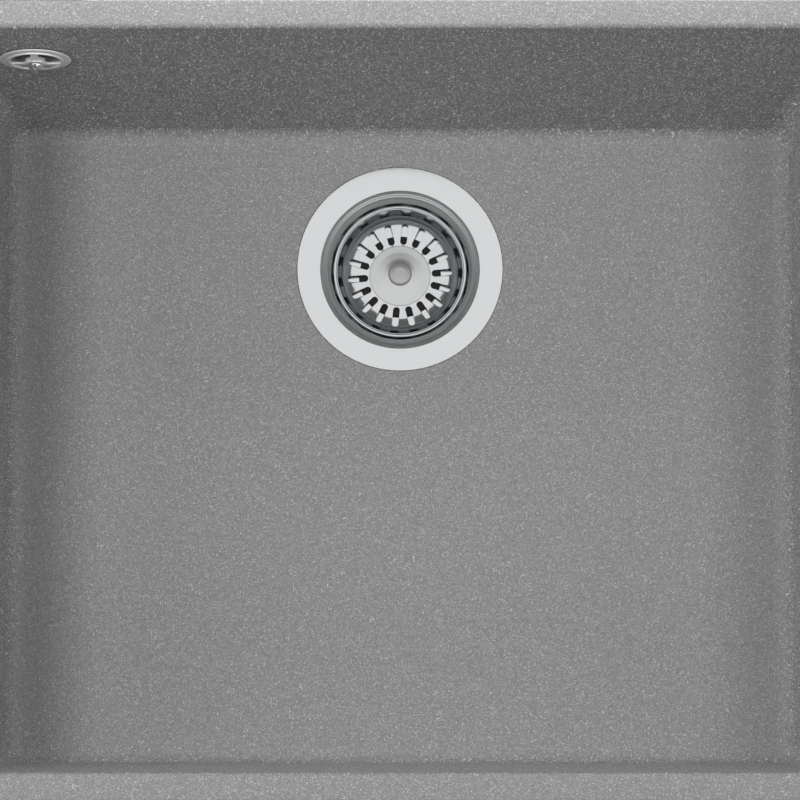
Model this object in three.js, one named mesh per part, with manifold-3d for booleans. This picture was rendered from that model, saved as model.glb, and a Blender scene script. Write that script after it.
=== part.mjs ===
// Undermount kitchen sink: a moulded stone-composite bowl with a 90 mm basket strainer waste,
// and an overflow piped from the rear wall to the waste body.
// Millimetres. +Z is up, +X to the right and +Y to the rear wall, as seen by someone at the sink.
// The origin is the centre of the opening, in the plane of the rim's top face.

import * as THREE from "three";
import { mergeVertices } from "three/addons/utils/BufferGeometryUtils.js";
import Module from "manifold-3d";

// ---------------------------------------------------------------- driving dimensions

// Fits
const touch = 0.3; // gap where turned or curved pieces meet
const running = 0.3; // radial clearance of pieces that slide or turn on each other
const threadFit = 0.15; // gap between a screw and its hole
const spannerRoom = 2; // kept clear round a coupling nut
const sealInset = 1; // a seal's edges lie this far inside the faces that press it

// Bowl
const openingWidth = 470;
const openingDepth = 390;
const bowlDepth = 200;
const rimWidth = 15;
const rimThickness = 10;
const rimInnerRound = 3;
const rimOuterRound = 1.5;
const rimUnderRound = 1.5;
const wallThickness = 8;
const wallLean = 19; // how far each wall has come in by the floor
const cornerRadius = 12;
const floorThickness = 10;
const floorFillet = 10;
const outerFillet = 16;
const floorFall = 3; // from the floor's front edge to the drain
const rearFall = 2.6; // of the floor's edges, from front to rear

// Drain seat, which leaves the strainer's flange flush with the floor
const drainFromRear = 96; // drain axis, from the opening's rear edge
const drainFlatWidth = 3; // level floor round the flange
const rebateClearance = 0.4;
const drainHoleClearance = 1.2;
const drainBossWidth = 8; // beyond the waste body's flange
const drainBossDepth = 4;

// Strainer body, pressed from sheet
const cupRadius = 38.4;
const cupDepth = 30;
const cupCornerRadius = 4;
const shelfWidth = 1.9;
const shelfSlope = 1.5;
const shelfDrop = 7.5;
const mouthFlare = 3.7;
const flangeWidth = 11.3;
const strainerSheet = 1.2;
const flangeBend = 0.5; // radius under the flange where it rolls down
const throatBend = 0.8; // radius under the seat where it turns into the throat
const throatRadius = 20;
const throatLength = 11;
const spiderThickness = 2.5;
const spiderArms = 4;
const spiderArmWidth = 5;
const spiderTurn = 45; // of the first arm, from +X, in degrees

// Seals of the strainer
const flangeSealThickness = 1.8;
const lowerSealThickness = 2.5;

// Waste body, moulded
const bodyClearance = 5.2; // between the strainer cup and the body's bore
const bodyWall = 3.2;
const bodyFlangeWidth = 10;
const bodyFlangeThickness = 5;
const bodyFlangeFillet = 2;
const bodyBelowThroat = 6.5;
const coneHeight = 10;
const coneCorner = 3;
const outletBore = 20;
const outletWall = 3.9;
const outletLength = 28;
const threadPitch = 2.3;
const threadDepth = 0.9;
const threadRunOut = 4; // plain stretch above the thread
const hubWall = 3.3;
const hubHeight = 12;
const hubAboveCone = 6;
const hubRibs = 3;
const hubRibTurn = 30; // of the first rib, from +X, in degrees
const hubRibWidth = 3;
const hubRibDrop = 7; // below the hub's top

// Clamping screw and its nut
const screwRadius = 4;
const screwHeadRadius = 7.5;
const screwHeadHeight = 3.7;
const screwHeadBevel = 1;
const screwSocketRadius = 3.2;
const screwSocketDepth = 2.2;
const screwPastHub = 3;
const nutBarrelWall = 2.4;
const nutBarrelEnd = 1; // of the barrel, past the hub
const nutFlangeWidth = 1.6;
const nutFlangeThickness = 2;

// Basket, stopper and knob
const basketClearance = 1.2; // between the basket's bead and the strainer cup
const basketBead = 0.95; // radius of the rolled bead
const beadFoot = 45; // half of the bead's turn that the wall takes up, in degrees
const basketDrop = 8.6; // of the bead's top, below the flange
const basketSheet = 0.8;
const basketWallLean = 2.2;
const basketCorner = 10;
const basketFloorDrop = 26;
const basketFloorRise = 0.6; // from its middle to its corner
const slotCount = 18;
const slotTurn = 4.2; // of the first slot, from +X, in degrees
const slotWidth = 3.7;
const slotInnerRadius = 17.9;
const slotTopDrop = 23.5;
const capRadius = 17.1;
const capSheet = 1;
const capRise = 1.4;
const capSweep = [[5.6, 1], [9, 0.45], [13, 0.12]]; // [radius, share of the rise], outwards
const knobRadius = 6.6;
const knobHeadHeight = 5;
const knobHeadRound = 1.8;
const knobUndercut = 1;
const knobNeckRadius = 4.4;
const knobNeckHeight = 3.2;
const stemRadius = 3.5;
const studStep = 1; // the stud is this much thinner than the stem
const studLength = 5.5;
const stopperLap = 3; // of the rubber, onto the seat round the throat
const stopperBevel = 0.6;
const plateRadius = 16.5;
const plateThickness = 0.8;
const clipClearance = 0.6; // round the clamping screw's head
const clipWall = 2.2;
const clipTopThickness = 2.6;
const clipLength = 7;
const rivetLap = 1.5; // beyond the stem
const rivetThickness = 0.8;

// Overflow, its depths measured square to the rear wall
const overflowFromSide = 40.5; // overflow axis, from the opening's left edge
const overflowDrop = 57; // below the rim
const overflowHoleRadius = 15;
const overflowPadHeight = 1.5;
const overflowPadWidth = 3; // beyond the elbow
const overflowSealThickness = 3;
const rosetteLap = 4.2; // beyond the hole
const rosetteEdge = 0.8;
const rosetteShoulder = 1.2; // height of the flat outer ring
const rosetteRise = 1.9;
const rosetteRingWidth = 1.9; // of the raised inner ring
const rosetteRingLip = 0.5;
const rosetteBevel = 0.5;
const rosetteNeckLength = 5;
const rosetteNeckWall = 1.3;
const rosetteArms = 3;
const rosetteArmWidth = 4.2;
const rosetteArmThickness = 1.1;
const rosetteHubRadius = 5.4;
const rosetteHubRise = 3.2;
const elbowLap = 10; // beyond the hole
const elbowWall = 2.6;
const elbowBevel = 2;
const elbowBackMargin = 1; // behind the spigot
const elbowBossWall = 3;
const elbowBossInset = 3; // of the screw boss, behind the elbow's mouth
const spigotNeck = 17; // from the elbow to the spigot's thread
const overflowScrewRadius = 2.4;
const overflowScrewGrip = 13; // in the boss
const overflowHeadRadius = 4.4;
const overflowHeadHeight = 2.4;
const overflowHeadSlot = 1.6;
const overflowSlotDepth = 1.6;

// Overflow hose and its couplings
const spigotBore = 8.5;
const spigotWall = 3;
const couplingThreadHeight = 1.7; // beyond the spigot
const couplingThreadLength = 14;
const couplingSealThickness = 2.5;
const hoseWall = 2;
const hoseFlangeThickness = 1.5;
const hoseFlangeInset = 0.5; // of its flange and seal, inside the thread
const hoseRibHeight = 1.5;
const hoseRibPitch = 5;
const hoseStraight = 26; // at each end
const dropBend = 50; // radius of the bend under the bowl
const inletBend = 60; // radius of the bend towards the inlet
const crossingAngle = 60; // of the crossing, to the inlet's axis, in degrees
const nutWall = 4.1;
const nutLip = 3;
const nutBevel = 1;
const nutTopInset = 2; // of the nut, below the thread's end
const nutRibs = 8;
const nutRibWidth = 3;
const nutRibHeight = 1.4;

// Facets
const drumSides = 40;
const bodySides = 36;
const pipeSides = 24;
const rodSides = 16;
const hexSides = 6;
const cornerSteps = 4;
const arcSteps = 3;
const bendSteps = 2;
const beadSteps = 4;
const levelStep = 15; // degrees between the points of a straight side, seen from the drain
const hoseSides = 8;
const ribsPerBoreStep = 5;
const routeSteps = 400;
const past = 1; // a cutter goes this far past the face that it cuts

// ---------------------------------------------------------------- derived places

const halfWidth = openingWidth / 2;
const halfDepth = openingDepth / 2;
const wallAngle = Math.atan2(wallLean, bowlDepth);
const underRadius = (radius) => radius / Math.cos(wallAngle);
const drainOffset = halfDepth - drainFromRear;
const overflowOffset = overflowFromSide - halfWidth;

const shelfRadius = cupRadius + shelfWidth;
const mouthRadius = shelfRadius + mouthFlare;
const lipRadius = mouthRadius + strainerSheet + flangeBend;
const flangeRadius = lipRadius + flangeWidth;
const bodyBore = cupRadius + strainerSheet + bodyClearance;
const bodyRadius = bodyBore + bodyWall;
const bodyFlangeRadius = bodyRadius + bodyFlangeWidth;
const drainHoleRadius = mouthRadius + strainerSheet + drainHoleClearance;
const rebateRadius = flangeRadius + rebateClearance;
const bossRadius = bodyFlangeRadius + drainBossWidth;

const flangeZ = -bowlDepth - floorFall;
const rebateZ = flangeZ - strainerSheet - flangeSealThickness;
const undersideZ = -bowlDepth - floorThickness;
const bossZ = undersideZ - drainBossDepth;
const bodyTopZ = bossZ - lowerSealThickness;
const seatZ = flangeZ - cupDepth;
const throatEndZ = seatZ - throatLength;
const spiderTopZ = throatEndZ + spiderThickness;

const spigotRadius = spigotBore + spigotWall;
const couplingRadius = spigotRadius + couplingThreadHeight;
const nutRadius = couplingRadius + running + nutWall;
const nutReach = nutRadius + nutRibHeight + spannerRoom;
const inletZ = bodyTopZ - nutReach;
const inletReach = bodyFlangeRadius + couplingThreadLength + spannerRoom;

const coneTopZ = Math.min(throatEndZ - bodyBelowThroat, inletZ - nutReach);
const coneEndZ = coneTopZ - coneHeight;
const outletRadius = outletBore + outletWall;
const outletEndZ = coneEndZ - outletLength;
const hubTopZ = coneEndZ + hubAboveCone;
const hubEndZ = hubTopZ - hubHeight;
const nutBarrelRadius = screwRadius + nutBarrelWall;
const hubRadius = nutBarrelRadius + running + hubWall;

const basketRadius = cupRadius - basketClearance;
const basketFloorZ = flangeZ - basketFloorDrop;
const capBottomZ = basketFloorZ + touch;
const capTopZ = capBottomZ + capRise + capSheet;
const knobZ = capTopZ + touch;
const plateTopZ = basketFloorZ - basketSheet - touch;
const plateBottomZ = plateTopZ - plateThickness;
const clipTopZ = seatZ - touch;
const stemHole = stemRadius + running;

const elbowRadius = overflowHoleRadius + elbowLap;
const padFace = wallThickness + overflowPadHeight;
const elbowFace = padFace + touch + overflowSealThickness + touch;
const spigotAxis = wallThickness + nutReach;
const elbowBack = spigotAxis + spigotRadius + elbowBackMargin;
const bossFace = elbowFace + elbowBossInset;
const spigotReach = elbowRadius + spigotNeck + couplingThreadLength;

// ---------------------------------------------------------------- closed geometries

const wasm = await Module();
wasm.setup();
const radians = THREE.MathUtils.degToRad;

const onlyPositions = (geometry) => {
  const bare = new THREE.BufferGeometry();
  bare.setAttribute("position", geometry.getAttribute("position"));
  bare.setIndex(geometry.index);
  return mergeVertices(bare, 1e-3);
};

// Six times the signed volume inside a geometry: negative where its faces point inwards.
function signedVolume(geometry) {
  const place = geometry.getAttribute("position");
  const corner = (i) => new THREE.Vector3().fromBufferAttribute(place, geometry.index.getX(i));
  let sum = 0;
  for (let i = 0; i < geometry.index.count; i += 3) {
    sum += corner(i).dot(corner(i + 1).cross(corner(i + 2)));
  }
  return sum;
}

function facingOut(geometry) {
  const merged = onlyPositions(geometry);
  if (signedVolume(merged) < 0) merged.setIndex(Array.from(merged.index.array).reverse());
  return merged;
}

// Joins or cuts closed geometries.
function combined(operation, first, others) {
  const solidOf = (geometry) => {
    const merged = onlyPositions(geometry);
    return new wasm.Manifold(new wasm.Mesh({
      numProp: 3,
      vertProperties: new Float32Array(merged.getAttribute("position").array),
      triVerts: new Uint32Array(merged.index.array),
    }));
  };
  const mesh = others.reduce((body, tool) => body[operation](solidOf(tool)), solidOf(first)).getMesh();
  const geometry = new THREE.BufferGeometry();
  geometry.setAttribute("position", new THREE.Float32BufferAttribute(mesh.vertProperties, 3));
  geometry.setIndex(Array.from(mesh.triVerts));
  return geometry;
}

const joined = (first, ...others) => combined("add", first, others);
const without = (first, ...cutters) => combined("subtract", first, cutters);

// Turns an outline of [radius, height] points about the Z axis.
function turned(outline, sides = drumSides) {
  const points = outline.map(([radius, height]) => new THREE.Vector2(radius, height));
  const onAxis = points[0].x === 0 && points[points.length - 1].x === 0;
  if (!onAxis) points.push(points[0].clone());
  return facingOut(new THREE.LatheGeometry(points, sides).rotateX(Math.PI / 2));
}

const rod = (radius, low, high, sides = rodSides) =>
  turned([[0, low], [radius, low], [radius, high], [0, high]], sides);
const ring = (inner, outer, low, high, sides = drumSides) =>
  turned([[inner, low], [outer, low], [outer, high], [inner, high]], sides);

function block([lowX, highX], [lowY, highY], [lowZ, highZ]) {
  const box = new THREE.BoxGeometry(highX - lowX, highY - lowY, highZ - lowZ);
  return box.translate((lowX + highX) / 2, (lowY + highY) / 2, (lowZ + highZ) / 2);
}

const across = (width) => [-width / 2, width / 2];

// Copies of a geometry, evenly round the Z axis, the first one turned by start degrees.
const around = (count, geometry, start = 0) =>
  Array.from({ length: count }, (_, i) => geometry.clone().rotateZ(radians(start + (360 * i) / count)));

// Points on an arc, angles in degrees, both ends included.
function arc(centreX, centreY, radius, from, to, steps = arcSteps) {
  return Array.from({ length: steps + 1 }, (_, i) => {
    const angle = radians(from + ((to - from) * i) / steps);
    return [centreX + radius * Math.cos(angle), centreY + radius * Math.sin(angle)];
  });
}

// The outline of bent sheet: a line, then the same line offset to its left by the thickness.
function pressed(line, thickness) {
  const normal = ([fromX, fromY], [toX, toY]) => {
    const length = Math.hypot(toX - fromX, toY - fromY);
    return [(fromY - toY) / length, (toX - fromX) / length];
  };
  const normals = line.slice(1).map((point, i) => normal(line[i], point));
  const backing = line.map(([x, y], i) => {
    const before = normals[Math.max(i - 1, 0)];
    const after = normals[Math.min(i, normals.length - 1)];
    const scale = thickness / (1 + before[0] * after[0] + before[1] * after[1]);
    return [x + (before[0] + after[0]) * scale, y + (before[1] + after[1]) * scale];
  });
  return [...line, ...backing.reverse()];
}

// A skin through rings of equal point counts. With ends, it is closed at each end on that point;
// without, the last ring joins the first.
function lofted(rings, ends = []) {
  const count = rings[0].length;
  const corners = [...rings.flat(), ...ends];
  const bands = ends.length ? rings.length - 1 : rings.length;
  const faces = [];
  for (let i = 0; i < count; i++) {
    const j = (i + 1) % count;
    for (let band = 0; band < bands; band++) {
      const here = band * count;
      const next = ((band + 1) % rings.length) * count;
      faces.push(here + i, here + j, next + j, here + i, next + j, next + i);
    }
    if (ends.length) {
      const lastRing = (rings.length - 1) * count;
      const firstEnd = rings.length * count;
      faces.push(firstEnd, j, i, firstEnd + 1, lastRing + i, lastRing + j);
    }
  }
  const geometry = new THREE.BufferGeometry().setFromPoints(corners);
  geometry.setIndex(faces);
  return facingOut(geometry);
}

// ---------------------------------------------------------------- materials and frames

const finish = (color, roughness, metalness) =>
  new THREE.MeshStandardMaterial({ color, roughness, metalness });
const stoneComposite = finish(0x8c8c8c, 0.55, 0);
const satinSteel = finish(0xd3d5d6, 0.35, 1);
const brightSteel = finish(0xc4c6c8, 0.18, 1);
const chrome = finish(0xd8d8d8, 0.08, 1);
const rubber = finish(0x1c1c1e, 0.8, 0);
const whitePlastic = finish(0xe6e6e2, 0.4, 0);
const greyPlastic = finish(0x9a9c9e, 0.5, 0);
const blackPlastic = finish(0x2f2f31, 0.5, 0);
const brass = finish(0xb9974f, 0.35, 1);

const sink = new THREE.Group();

function frame(parent, [x, y, z], [turnX, turnY] = [0, 0]) {
  const group = new THREE.Group();
  group.position.set(x, y, z);
  group.rotation.set(turnX, turnY, 0);
  parent.add(group);
  return group;
}

function place(name, geometry, material, parent) {
  const mesh = new THREE.Mesh(geometry, material);
  mesh.name = name;
  parent.add(mesh);
}

// How far a wall has come in at height z.
const leanAt = (z) => (wallLean * -z) / bowlDepth;

// The drain's axis is this frame's Z axis.
const drainFrame = frame(sink, [0, drainOffset, 0]);

// Its origin is on the rear wall's inner face, and +Y runs square through the wall to the outside.
const overflowPlace = [overflowOffset, halfDepth - leanAt(-overflowDrop), -overflowDrop];
const overflowFrame = frame(sink, overflowPlace, [-wallAngle, 0]);

// A coupling's frame has its origin in the middle of the spigot's end, with the spigot on +Z.
const upperCoupling = frame(overflowFrame, [0, spigotAxis, -spigotReach]);
const lowerCoupling = frame(drainFrame, [-inletReach, 0, inletZ], [0, Math.PI / 2]);

// ---------------------------------------------------------------- bowl

// Shares of a straight side at which it has points, evenly spread as seen from the drain.
function sideShares(distance, from, to) {
  const first = Math.atan2(from, distance);
  const last = Math.atan2(to, distance);
  const steps = Math.ceil((last - first) / radians(levelStep));
  return Array.from({ length: steps - 1 }, (_, i) => {
    const angle = first + ((last - first) * (i + 1)) / steps;
    return (distance * Math.tan(angle) - from) / (to - from);
  });
}

const floorX = halfWidth - wallLean - floorFillet;
const floorY = halfDepth - wallLean - floorFillet;
const toRear = floorY - drainOffset;
const toFront = floorY + drainOffset;
const levelSides = [
  { signX: 1, signY: 1, shares: sideShares(toRear, -floorX, floorX) },
  { signX: -1, signY: 1, shares: sideShares(floorX, -toRear, toFront) },
  { signX: -1, signY: -1, shares: sideShares(toFront, -floorX, floorX) },
  { signX: 1, signY: -1, shares: sideShares(floorX, -toFront, toRear) },
];

// One level of the bowl: a rectangle set out from the opening's edge, with rounded corners.
function level(outset, z, radius) {
  const centreX = halfWidth + outset - radius;
  const centreY = halfDepth + outset - radius;
  const corners = levelSides.map(({ signX, signY }, i) =>
    arc(signX * centreX, signY * centreY, radius, 90 * i, 90 * (i + 1), cornerSteps));
  return levelSides.flatMap(({ shares }, i) => {
    const [fromX, fromY] = corners[i][cornerSteps];
    const [toX, toY] = corners[(i + 1) % corners.length][0];
    const side = shares.map((share) => [fromX + (toX - fromX) * share, fromY + (toY - fromY) * share]);
    return [...corners[i], ...side].map(([x, y]) => new THREE.Vector3(x, y, z));
  });
}

// The fillet from a leaning wall to a floor, as [outset, z] from the wall down to the floor.
function footFillet(wallOutset, floorZ, radius) {
  const centreZ = floorZ + radius;
  const centre = wallOutset(centreZ) - underRadius(radius);
  return arc(centre, centreZ, radius, THREE.MathUtils.radToDeg(-wallAngle), -90);
}

// Levels down a fillet, their corners drawn in with it.
const filletLevels = (fillet, corner) => fillet.map(([outset, z]) =>
  level(outset, z, Math.max(corner - (fillet[0][0] - outset), rimInnerRound)));

const fallenToRear = (points) => points.map(({ x, y, z }) =>
  new THREE.Vector3(x, y, z - rearFall * (y / openingDepth + 0.5)));

// A ring round the drain, its points in line with those of the floor's edge.
const drainRing = (edge, radius, z) => edge.map(({ x, y }) => {
  const angle = Math.atan2(y - drainOffset, x);
  return new THREE.Vector3(radius * Math.cos(angle), drainOffset + radius * Math.sin(angle), z);
});

function bowlShell() {
  const outerWall = (z) => underRadius(wallThickness) - leanAt(z);
  const innerWall = (z) => -leanAt(z);
  const innerFoot = footFillet(innerWall, -bowlDepth, floorFillet);
  const inner = filletLevels(innerFoot, cornerRadius).map(fallenToRear);
  const outer = filletLevels(footFillet(outerWall, undersideZ, outerFillet), cornerRadius + wallThickness);
  const innerRound = arc(rimInnerRound, -rimInnerRound, rimInnerRound, 180, 90);
  const outerRound = arc(rimWidth - rimOuterRound, -rimOuterRound, rimOuterRound, 90, 0, bendSteps);
  const lowerEdge = arc(rimWidth - rimOuterRound, rimOuterRound - rimThickness, rimOuterRound, 0, -90, 1);
  const neck = -rimThickness - rimUnderRound;
  const rim = [
    ...innerRound,
    ...outerRound,
    ...lowerEdge,
    [outerWall(-rimThickness) + rimUnderRound, -rimThickness],
    [outerWall(neck), neck],
  ].map(([outset, z]) => level(outset, z, cornerRadius + outset));

  const flat = drainRing(inner[inner.length - 1], rebateRadius + drainFlatWidth, flangeZ);
  const drainMiddle = new THREE.Vector3(0, drainOffset, flangeZ);
  const underMiddle = new THREE.Vector3(0, 0, undersideZ);
  return lofted([flat, ...inner.reverse(), ...rim, ...outer], [drainMiddle, underMiddle]);
}

function bowl() {
  const atDrain = (geometry) => geometry.translate(0, drainOffset, 0);
  const atOverflow = (geometry) =>
    alongWall(geometry).rotateX(-wallAngle).translate(...overflowPlace);
  const boss = atDrain(rod(bossRadius, bossZ, undersideZ + past, drumSides));
  const rebate = atDrain(rod(rebateRadius, rebateZ, flangeZ + past, drumSides));
  const hole = atDrain(rod(drainHoleRadius, bossZ - past, rebateZ + past, drumSides));
  const pad = atOverflow(rod(elbowRadius + overflowPadWidth, wallThickness - past, padFace, pipeSides));
  const overflowHole = atOverflow(rod(overflowHoleRadius, -past, padFace + past, pipeSides));
  return without(joined(bowlShell(), boss, pad), rebate, hole, overflowHole);
}

// ---------------------------------------------------------------- strainer waste

// The face of the pressed strainer that meets the water, from the flange's edge to the throat's end.
function strainerLine() {
  const flangeRoll = strainerSheet + flangeBend;
  const throatRoll = strainerSheet + throatBend;
  return [
    [flangeRadius, flangeZ],
    ...arc(lipRadius, flangeZ - flangeRoll, flangeRoll, 90, 180, bendSteps),
    [shelfRadius, flangeZ - shelfDrop],
    [cupRadius, flangeZ - shelfDrop - shelfSlope],
    ...arc(cupRadius - cupCornerRadius, seatZ + cupCornerRadius, cupCornerRadius, 0, -90, bendSteps),
    ...arc(throatRadius + throatRoll, seatZ - throatRoll, throatRoll, 90, 180, bendSteps),
    [throatRadius, throatEndZ],
  ];
}

function strainerBody() {
  const cup = turned(pressed(strainerLine(), strainerSheet));
  const hubEdge = screwHeadRadius + spannerRoom;
  const reach = [hubEdge - past, throatRadius + strainerSheet / 2];
  const arm = block(reach, across(spiderArmWidth), [throatEndZ, spiderTopZ]);
  const hub = rod(hubEdge, throatEndZ, spiderTopZ, pipeSides);
  const screwHole = rod(screwRadius + running, throatEndZ - past, spiderTopZ + past);
  return without(joined(cup, hub, ...around(spiderArms, arm, spiderTurn)), screwHole);
}

// The outlet's thread, as ridges from its lower end upwards.
function threadOutline() {
  const turns = Math.floor((outletLength - threadRunOut - coneCorner) / threadPitch);
  return Array.from({ length: turns }, (_, i) => outletEndZ + i * threadPitch).flatMap((z) => [
    [outletRadius - threadDepth, z],
    [outletRadius, z + threadPitch / 2],
  ]);
}

function wasteBody() {
  const flangeUnderZ = bodyTopZ - bodyFlangeThickness;
  const shell = turned([
    [bodyBore, bodyTopZ],
    [bodyBore, coneTopZ],
    [outletBore + coneCorner, coneEndZ + coneCorner],
    [outletBore, coneEndZ],
    [outletBore, outletEndZ],
    ...threadOutline(),
    [outletRadius, coneEndZ - threadRunOut],
    [outletRadius + coneCorner, coneEndZ],
    [bodyRadius - coneCorner, coneTopZ - bodyWall],
    [bodyRadius, coneTopZ],
    [bodyRadius, flangeUnderZ - bodyFlangeFillet],
    [bodyRadius + bodyFlangeFillet, flangeUnderZ],
    [bodyFlangeRadius, flangeUnderZ],
    [bodyFlangeRadius, bodyTopZ],
  ], bodySides);
  const alongInlet = (geometry) => geometry.rotateY(-Math.PI / 2).translate(0, 0, inletZ);
  const threadStart = inletReach - couplingThreadLength;
  const innerEdge = Math.sqrt(bodyBore ** 2 - spigotRadius ** 2);
  const inlet = alongInlet(rod(spigotRadius, bodyBore + past, threadStart + past, pipeSides));
  const inletThread = alongInlet(rod(couplingRadius, threadStart, inletReach, pipeSides));
  const inletBore = alongInlet(rod(spigotBore, innerEdge - past, inletReach + past, pipeSides));
  const hub = rod(hubRadius, hubEndZ, hubTopZ, pipeSides);
  const ribHeights = [hubEndZ, hubTopZ - hubRibDrop];
  const rib = block([hubRadius - past, outletBore + past], across(hubRibWidth), ribHeights);
  const nutHole = rod(nutBarrelRadius + running, hubEndZ - past, hubTopZ + past);
  const ribs = around(hubRibs, rib, hubRibTurn);
  return without(joined(shell, inlet, inletThread, hub, ...ribs), inletBore, nutHole);
}

function clampNut() {
  const barrel = rod(nutBarrelRadius, hubEndZ - nutBarrelEnd, hubTopZ);
  const flange = rod(nutBarrelRadius + nutFlangeWidth, hubEndZ - nutFlangeThickness, hubEndZ, hexSides);
  const hole = rod(screwRadius + threadFit, hubEndZ - nutFlangeThickness - past, hubTopZ + past);
  return without(joined(barrel, flange), hole);
}

function clampScrew() {
  const headTopZ = spiderTopZ + screwHeadHeight;
  const screw = turned([
    [0, hubEndZ - screwPastHub],
    [screwRadius, hubEndZ - screwPastHub],
    [screwRadius, spiderTopZ],
    [screwHeadRadius, spiderTopZ],
    [screwHeadRadius, headTopZ - screwHeadBevel],
    [screwHeadRadius - screwHeadBevel, headTopZ],
    [0, headTopZ],
  ], rodSides);
  return without(screw, rod(screwSocketRadius, headTopZ - screwSocketDepth, headTopZ + past, hexSides));
}

function flangeSeal() {
  const inner = lipRadius + strainerSheet;
  return ring(inner, flangeRadius - sealInset, rebateZ, rebateZ + flangeSealThickness);
}

const lowerSeal = () =>
  ring(drainHoleRadius + sealInset, bodyFlangeRadius - sealInset, bodyTopZ, bossZ);

// ---------------------------------------------------------------- basket and stopper

// Rolled bead, leaning wall, rounded corner and nearly flat floor, cut by slots from wall to cap.
function basketCup() {
  const beadX = basketRadius - basketBead;
  const beadZ = flangeZ - basketDrop - basketBead;
  const wallTop = [beadX - basketSheet / 2, beadZ - basketBead];
  const cornerX = wallTop[0] - basketWallLean - basketCorner;
  const cornerZ = basketFloorZ + basketFloorRise + basketCorner;
  const line = [
    wallTop,
    ...arc(cornerX, cornerZ, basketCorner, 0, -90, bendSteps + 1),
    [capRadius + slotWidth / 2, basketFloorZ],
    [stemHole, basketFloorZ],
  ];
  const bead = arc(beadX, beadZ, basketBead, beadFoot - 90, 270 - beadFoot, beadSteps);
  const shell = turned([...pressed(line, basketSheet), ...bead], slotCount * 2);

  const slotEnd = slotInnerRadius + slotWidth / 2;
  const slotHeights = [basketFloorZ - basketSheet - past, flangeZ - slotTopDrop];
  const slot = block([slotEnd, basketRadius + past], across(slotWidth), slotHeights);
  const roundEnd = rod(slotWidth / 2, ...slotHeights).translate(slotEnd, 0, 0);
  const halfPitch = 180 / slotCount;
  const cup = without(shell, ...around(slotCount, joined(slot, roundEnd), halfPitch));
  return cup.rotateZ(radians(slotTurn - halfPitch));
}

// A disc of sheet that rests on its edge and sweeps up to the knob.
function basketCap() {
  const sweep = [[stemHole, 1], ...capSweep, [capRadius, 0]];
  const line = sweep.map(([radius, share]) => [radius, capBottomZ + capRise * share]);
  return turned(pressed(line, capSheet), drumSides);
}

// The stem is riveted over below the clip and stepped down to a threaded stud in the knob.
function basketStem() {
  const footZ = clipTopZ - clipTopThickness - touch;
  const studRadius = stemRadius - studStep;
  return turned([
    [0, footZ - rivetThickness],
    [stemRadius + rivetLap, footZ - rivetThickness],
    [stemRadius + rivetLap, footZ],
    [stemRadius, footZ],
    [stemRadius, knobZ],
    [studRadius, knobZ],
    [studRadius, knobZ + studLength],
    [0, knobZ + studLength],
  ], rodSides);
}

function basketKnob() {
  const hole = stemRadius - studStep + threadFit;
  const holeEndZ = knobZ + studLength + touch;
  const headZ = knobZ + knobNeckHeight;
  const topZ = headZ + knobHeadHeight;
  return turned([
    [0, holeEndZ],
    [hole, holeEndZ],
    [hole, knobZ],
    [knobNeckRadius, knobZ],
    [knobNeckRadius, headZ - knobUndercut],
    [knobRadius, headZ],
    ...arc(knobRadius - knobHeadRound, topZ - knobHeadRound, knobHeadRound, 0, 90),
    [0, topZ],
  ], pipeSides);
}

const stopperPlate = () => ring(stemHole, plateRadius, plateBottomZ, plateTopZ, pipeSides);

function stopperSeal() {
  const edge = throatRadius + stopperLap;
  return turned([
    [stemHole, seatZ],
    [edge - stopperBevel, seatZ],
    [edge, seatZ + stopperBevel],
    [edge - stopperBevel, plateBottomZ - touch],
    [stemHole, plateBottomZ - touch],
  ], pipeSides);
}

// A cup that snaps over the clamping screw's head.
function stemClip() {
  const inner = screwHeadRadius + clipClearance;
  return turned([
    [stemHole, clipTopZ],
    [stemHole, clipTopZ - clipTopThickness],
    [inner, clipTopZ - clipTopThickness],
    [inner, clipTopZ - clipLength],
    [inner + clipWall, clipTopZ - clipLength],
    [inner + clipWall, clipTopZ],
  ], pipeSides);
}

// ---------------------------------------------------------------- overflow

// Lays a geometry that was turned about Z along +Y instead.
function alongWall(geometry) {
  return geometry.rotateX(-Math.PI / 2);
}

// Front cover: a flat ring stepped up to an inner one, arms that rise to a hub, and a neck in the
// wall's hole.
function rosette() {
  const outer = overflowHoleRadius + rosetteLap;
  const neckOuter = overflowHoleRadius - running;
  const neckInner = neckOuter - rosetteNeckWall;
  const cover = alongWall(turned([
    [neckInner, rosetteNeckLength],
    [neckInner, rosetteRingLip - rosetteRise],
    [neckInner + rosetteRingLip, -rosetteRise],
    [neckInner + rosetteRingWidth - rosetteRingLip, -rosetteRise],
    [neckInner + rosetteRingWidth, -rosetteShoulder],
    [outer - rosetteBevel, -rosetteShoulder],
    [outer, -rosetteEdge],
    [outer, -touch],
    [neckOuter, -touch],
    [neckOuter, rosetteNeckLength],
  ], pipeSides));
  const armEnd = (reach, front) => [[-1, 0], [1, 0], [1, 1], [-1, 1]].map(([side, back]) =>
    new THREE.Vector3(reach, front + back * rosetteArmThickness, (side * rosetteArmWidth) / 2));
  const atHub = armEnd(rosetteHubRadius - past, rosetteRingLip - rosetteHubRise);
  const atRing = armEnd(neckInner + rosetteRingLip, rosetteRingLip - rosetteRise);
  const middle = (end) => end[0].clone().lerp(end[2], 0.5);
  const arm = lofted([atHub, atRing], [middle(atHub), middle(atRing)]);
  const arms = Array.from({ length: rosetteArms }, (_, i) =>
    arm.clone().rotateY(radians(-90 - (360 * i) / rosetteArms)));
  const hub = alongWall(rod(rosetteHubRadius, -rosetteHubRise, 0));
  const screwHole = alongWall(rod(overflowScrewRadius + running, -rosetteHubRise - past, past));
  return without(joined(cover, hub, ...arms), screwHole);
}

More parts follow.
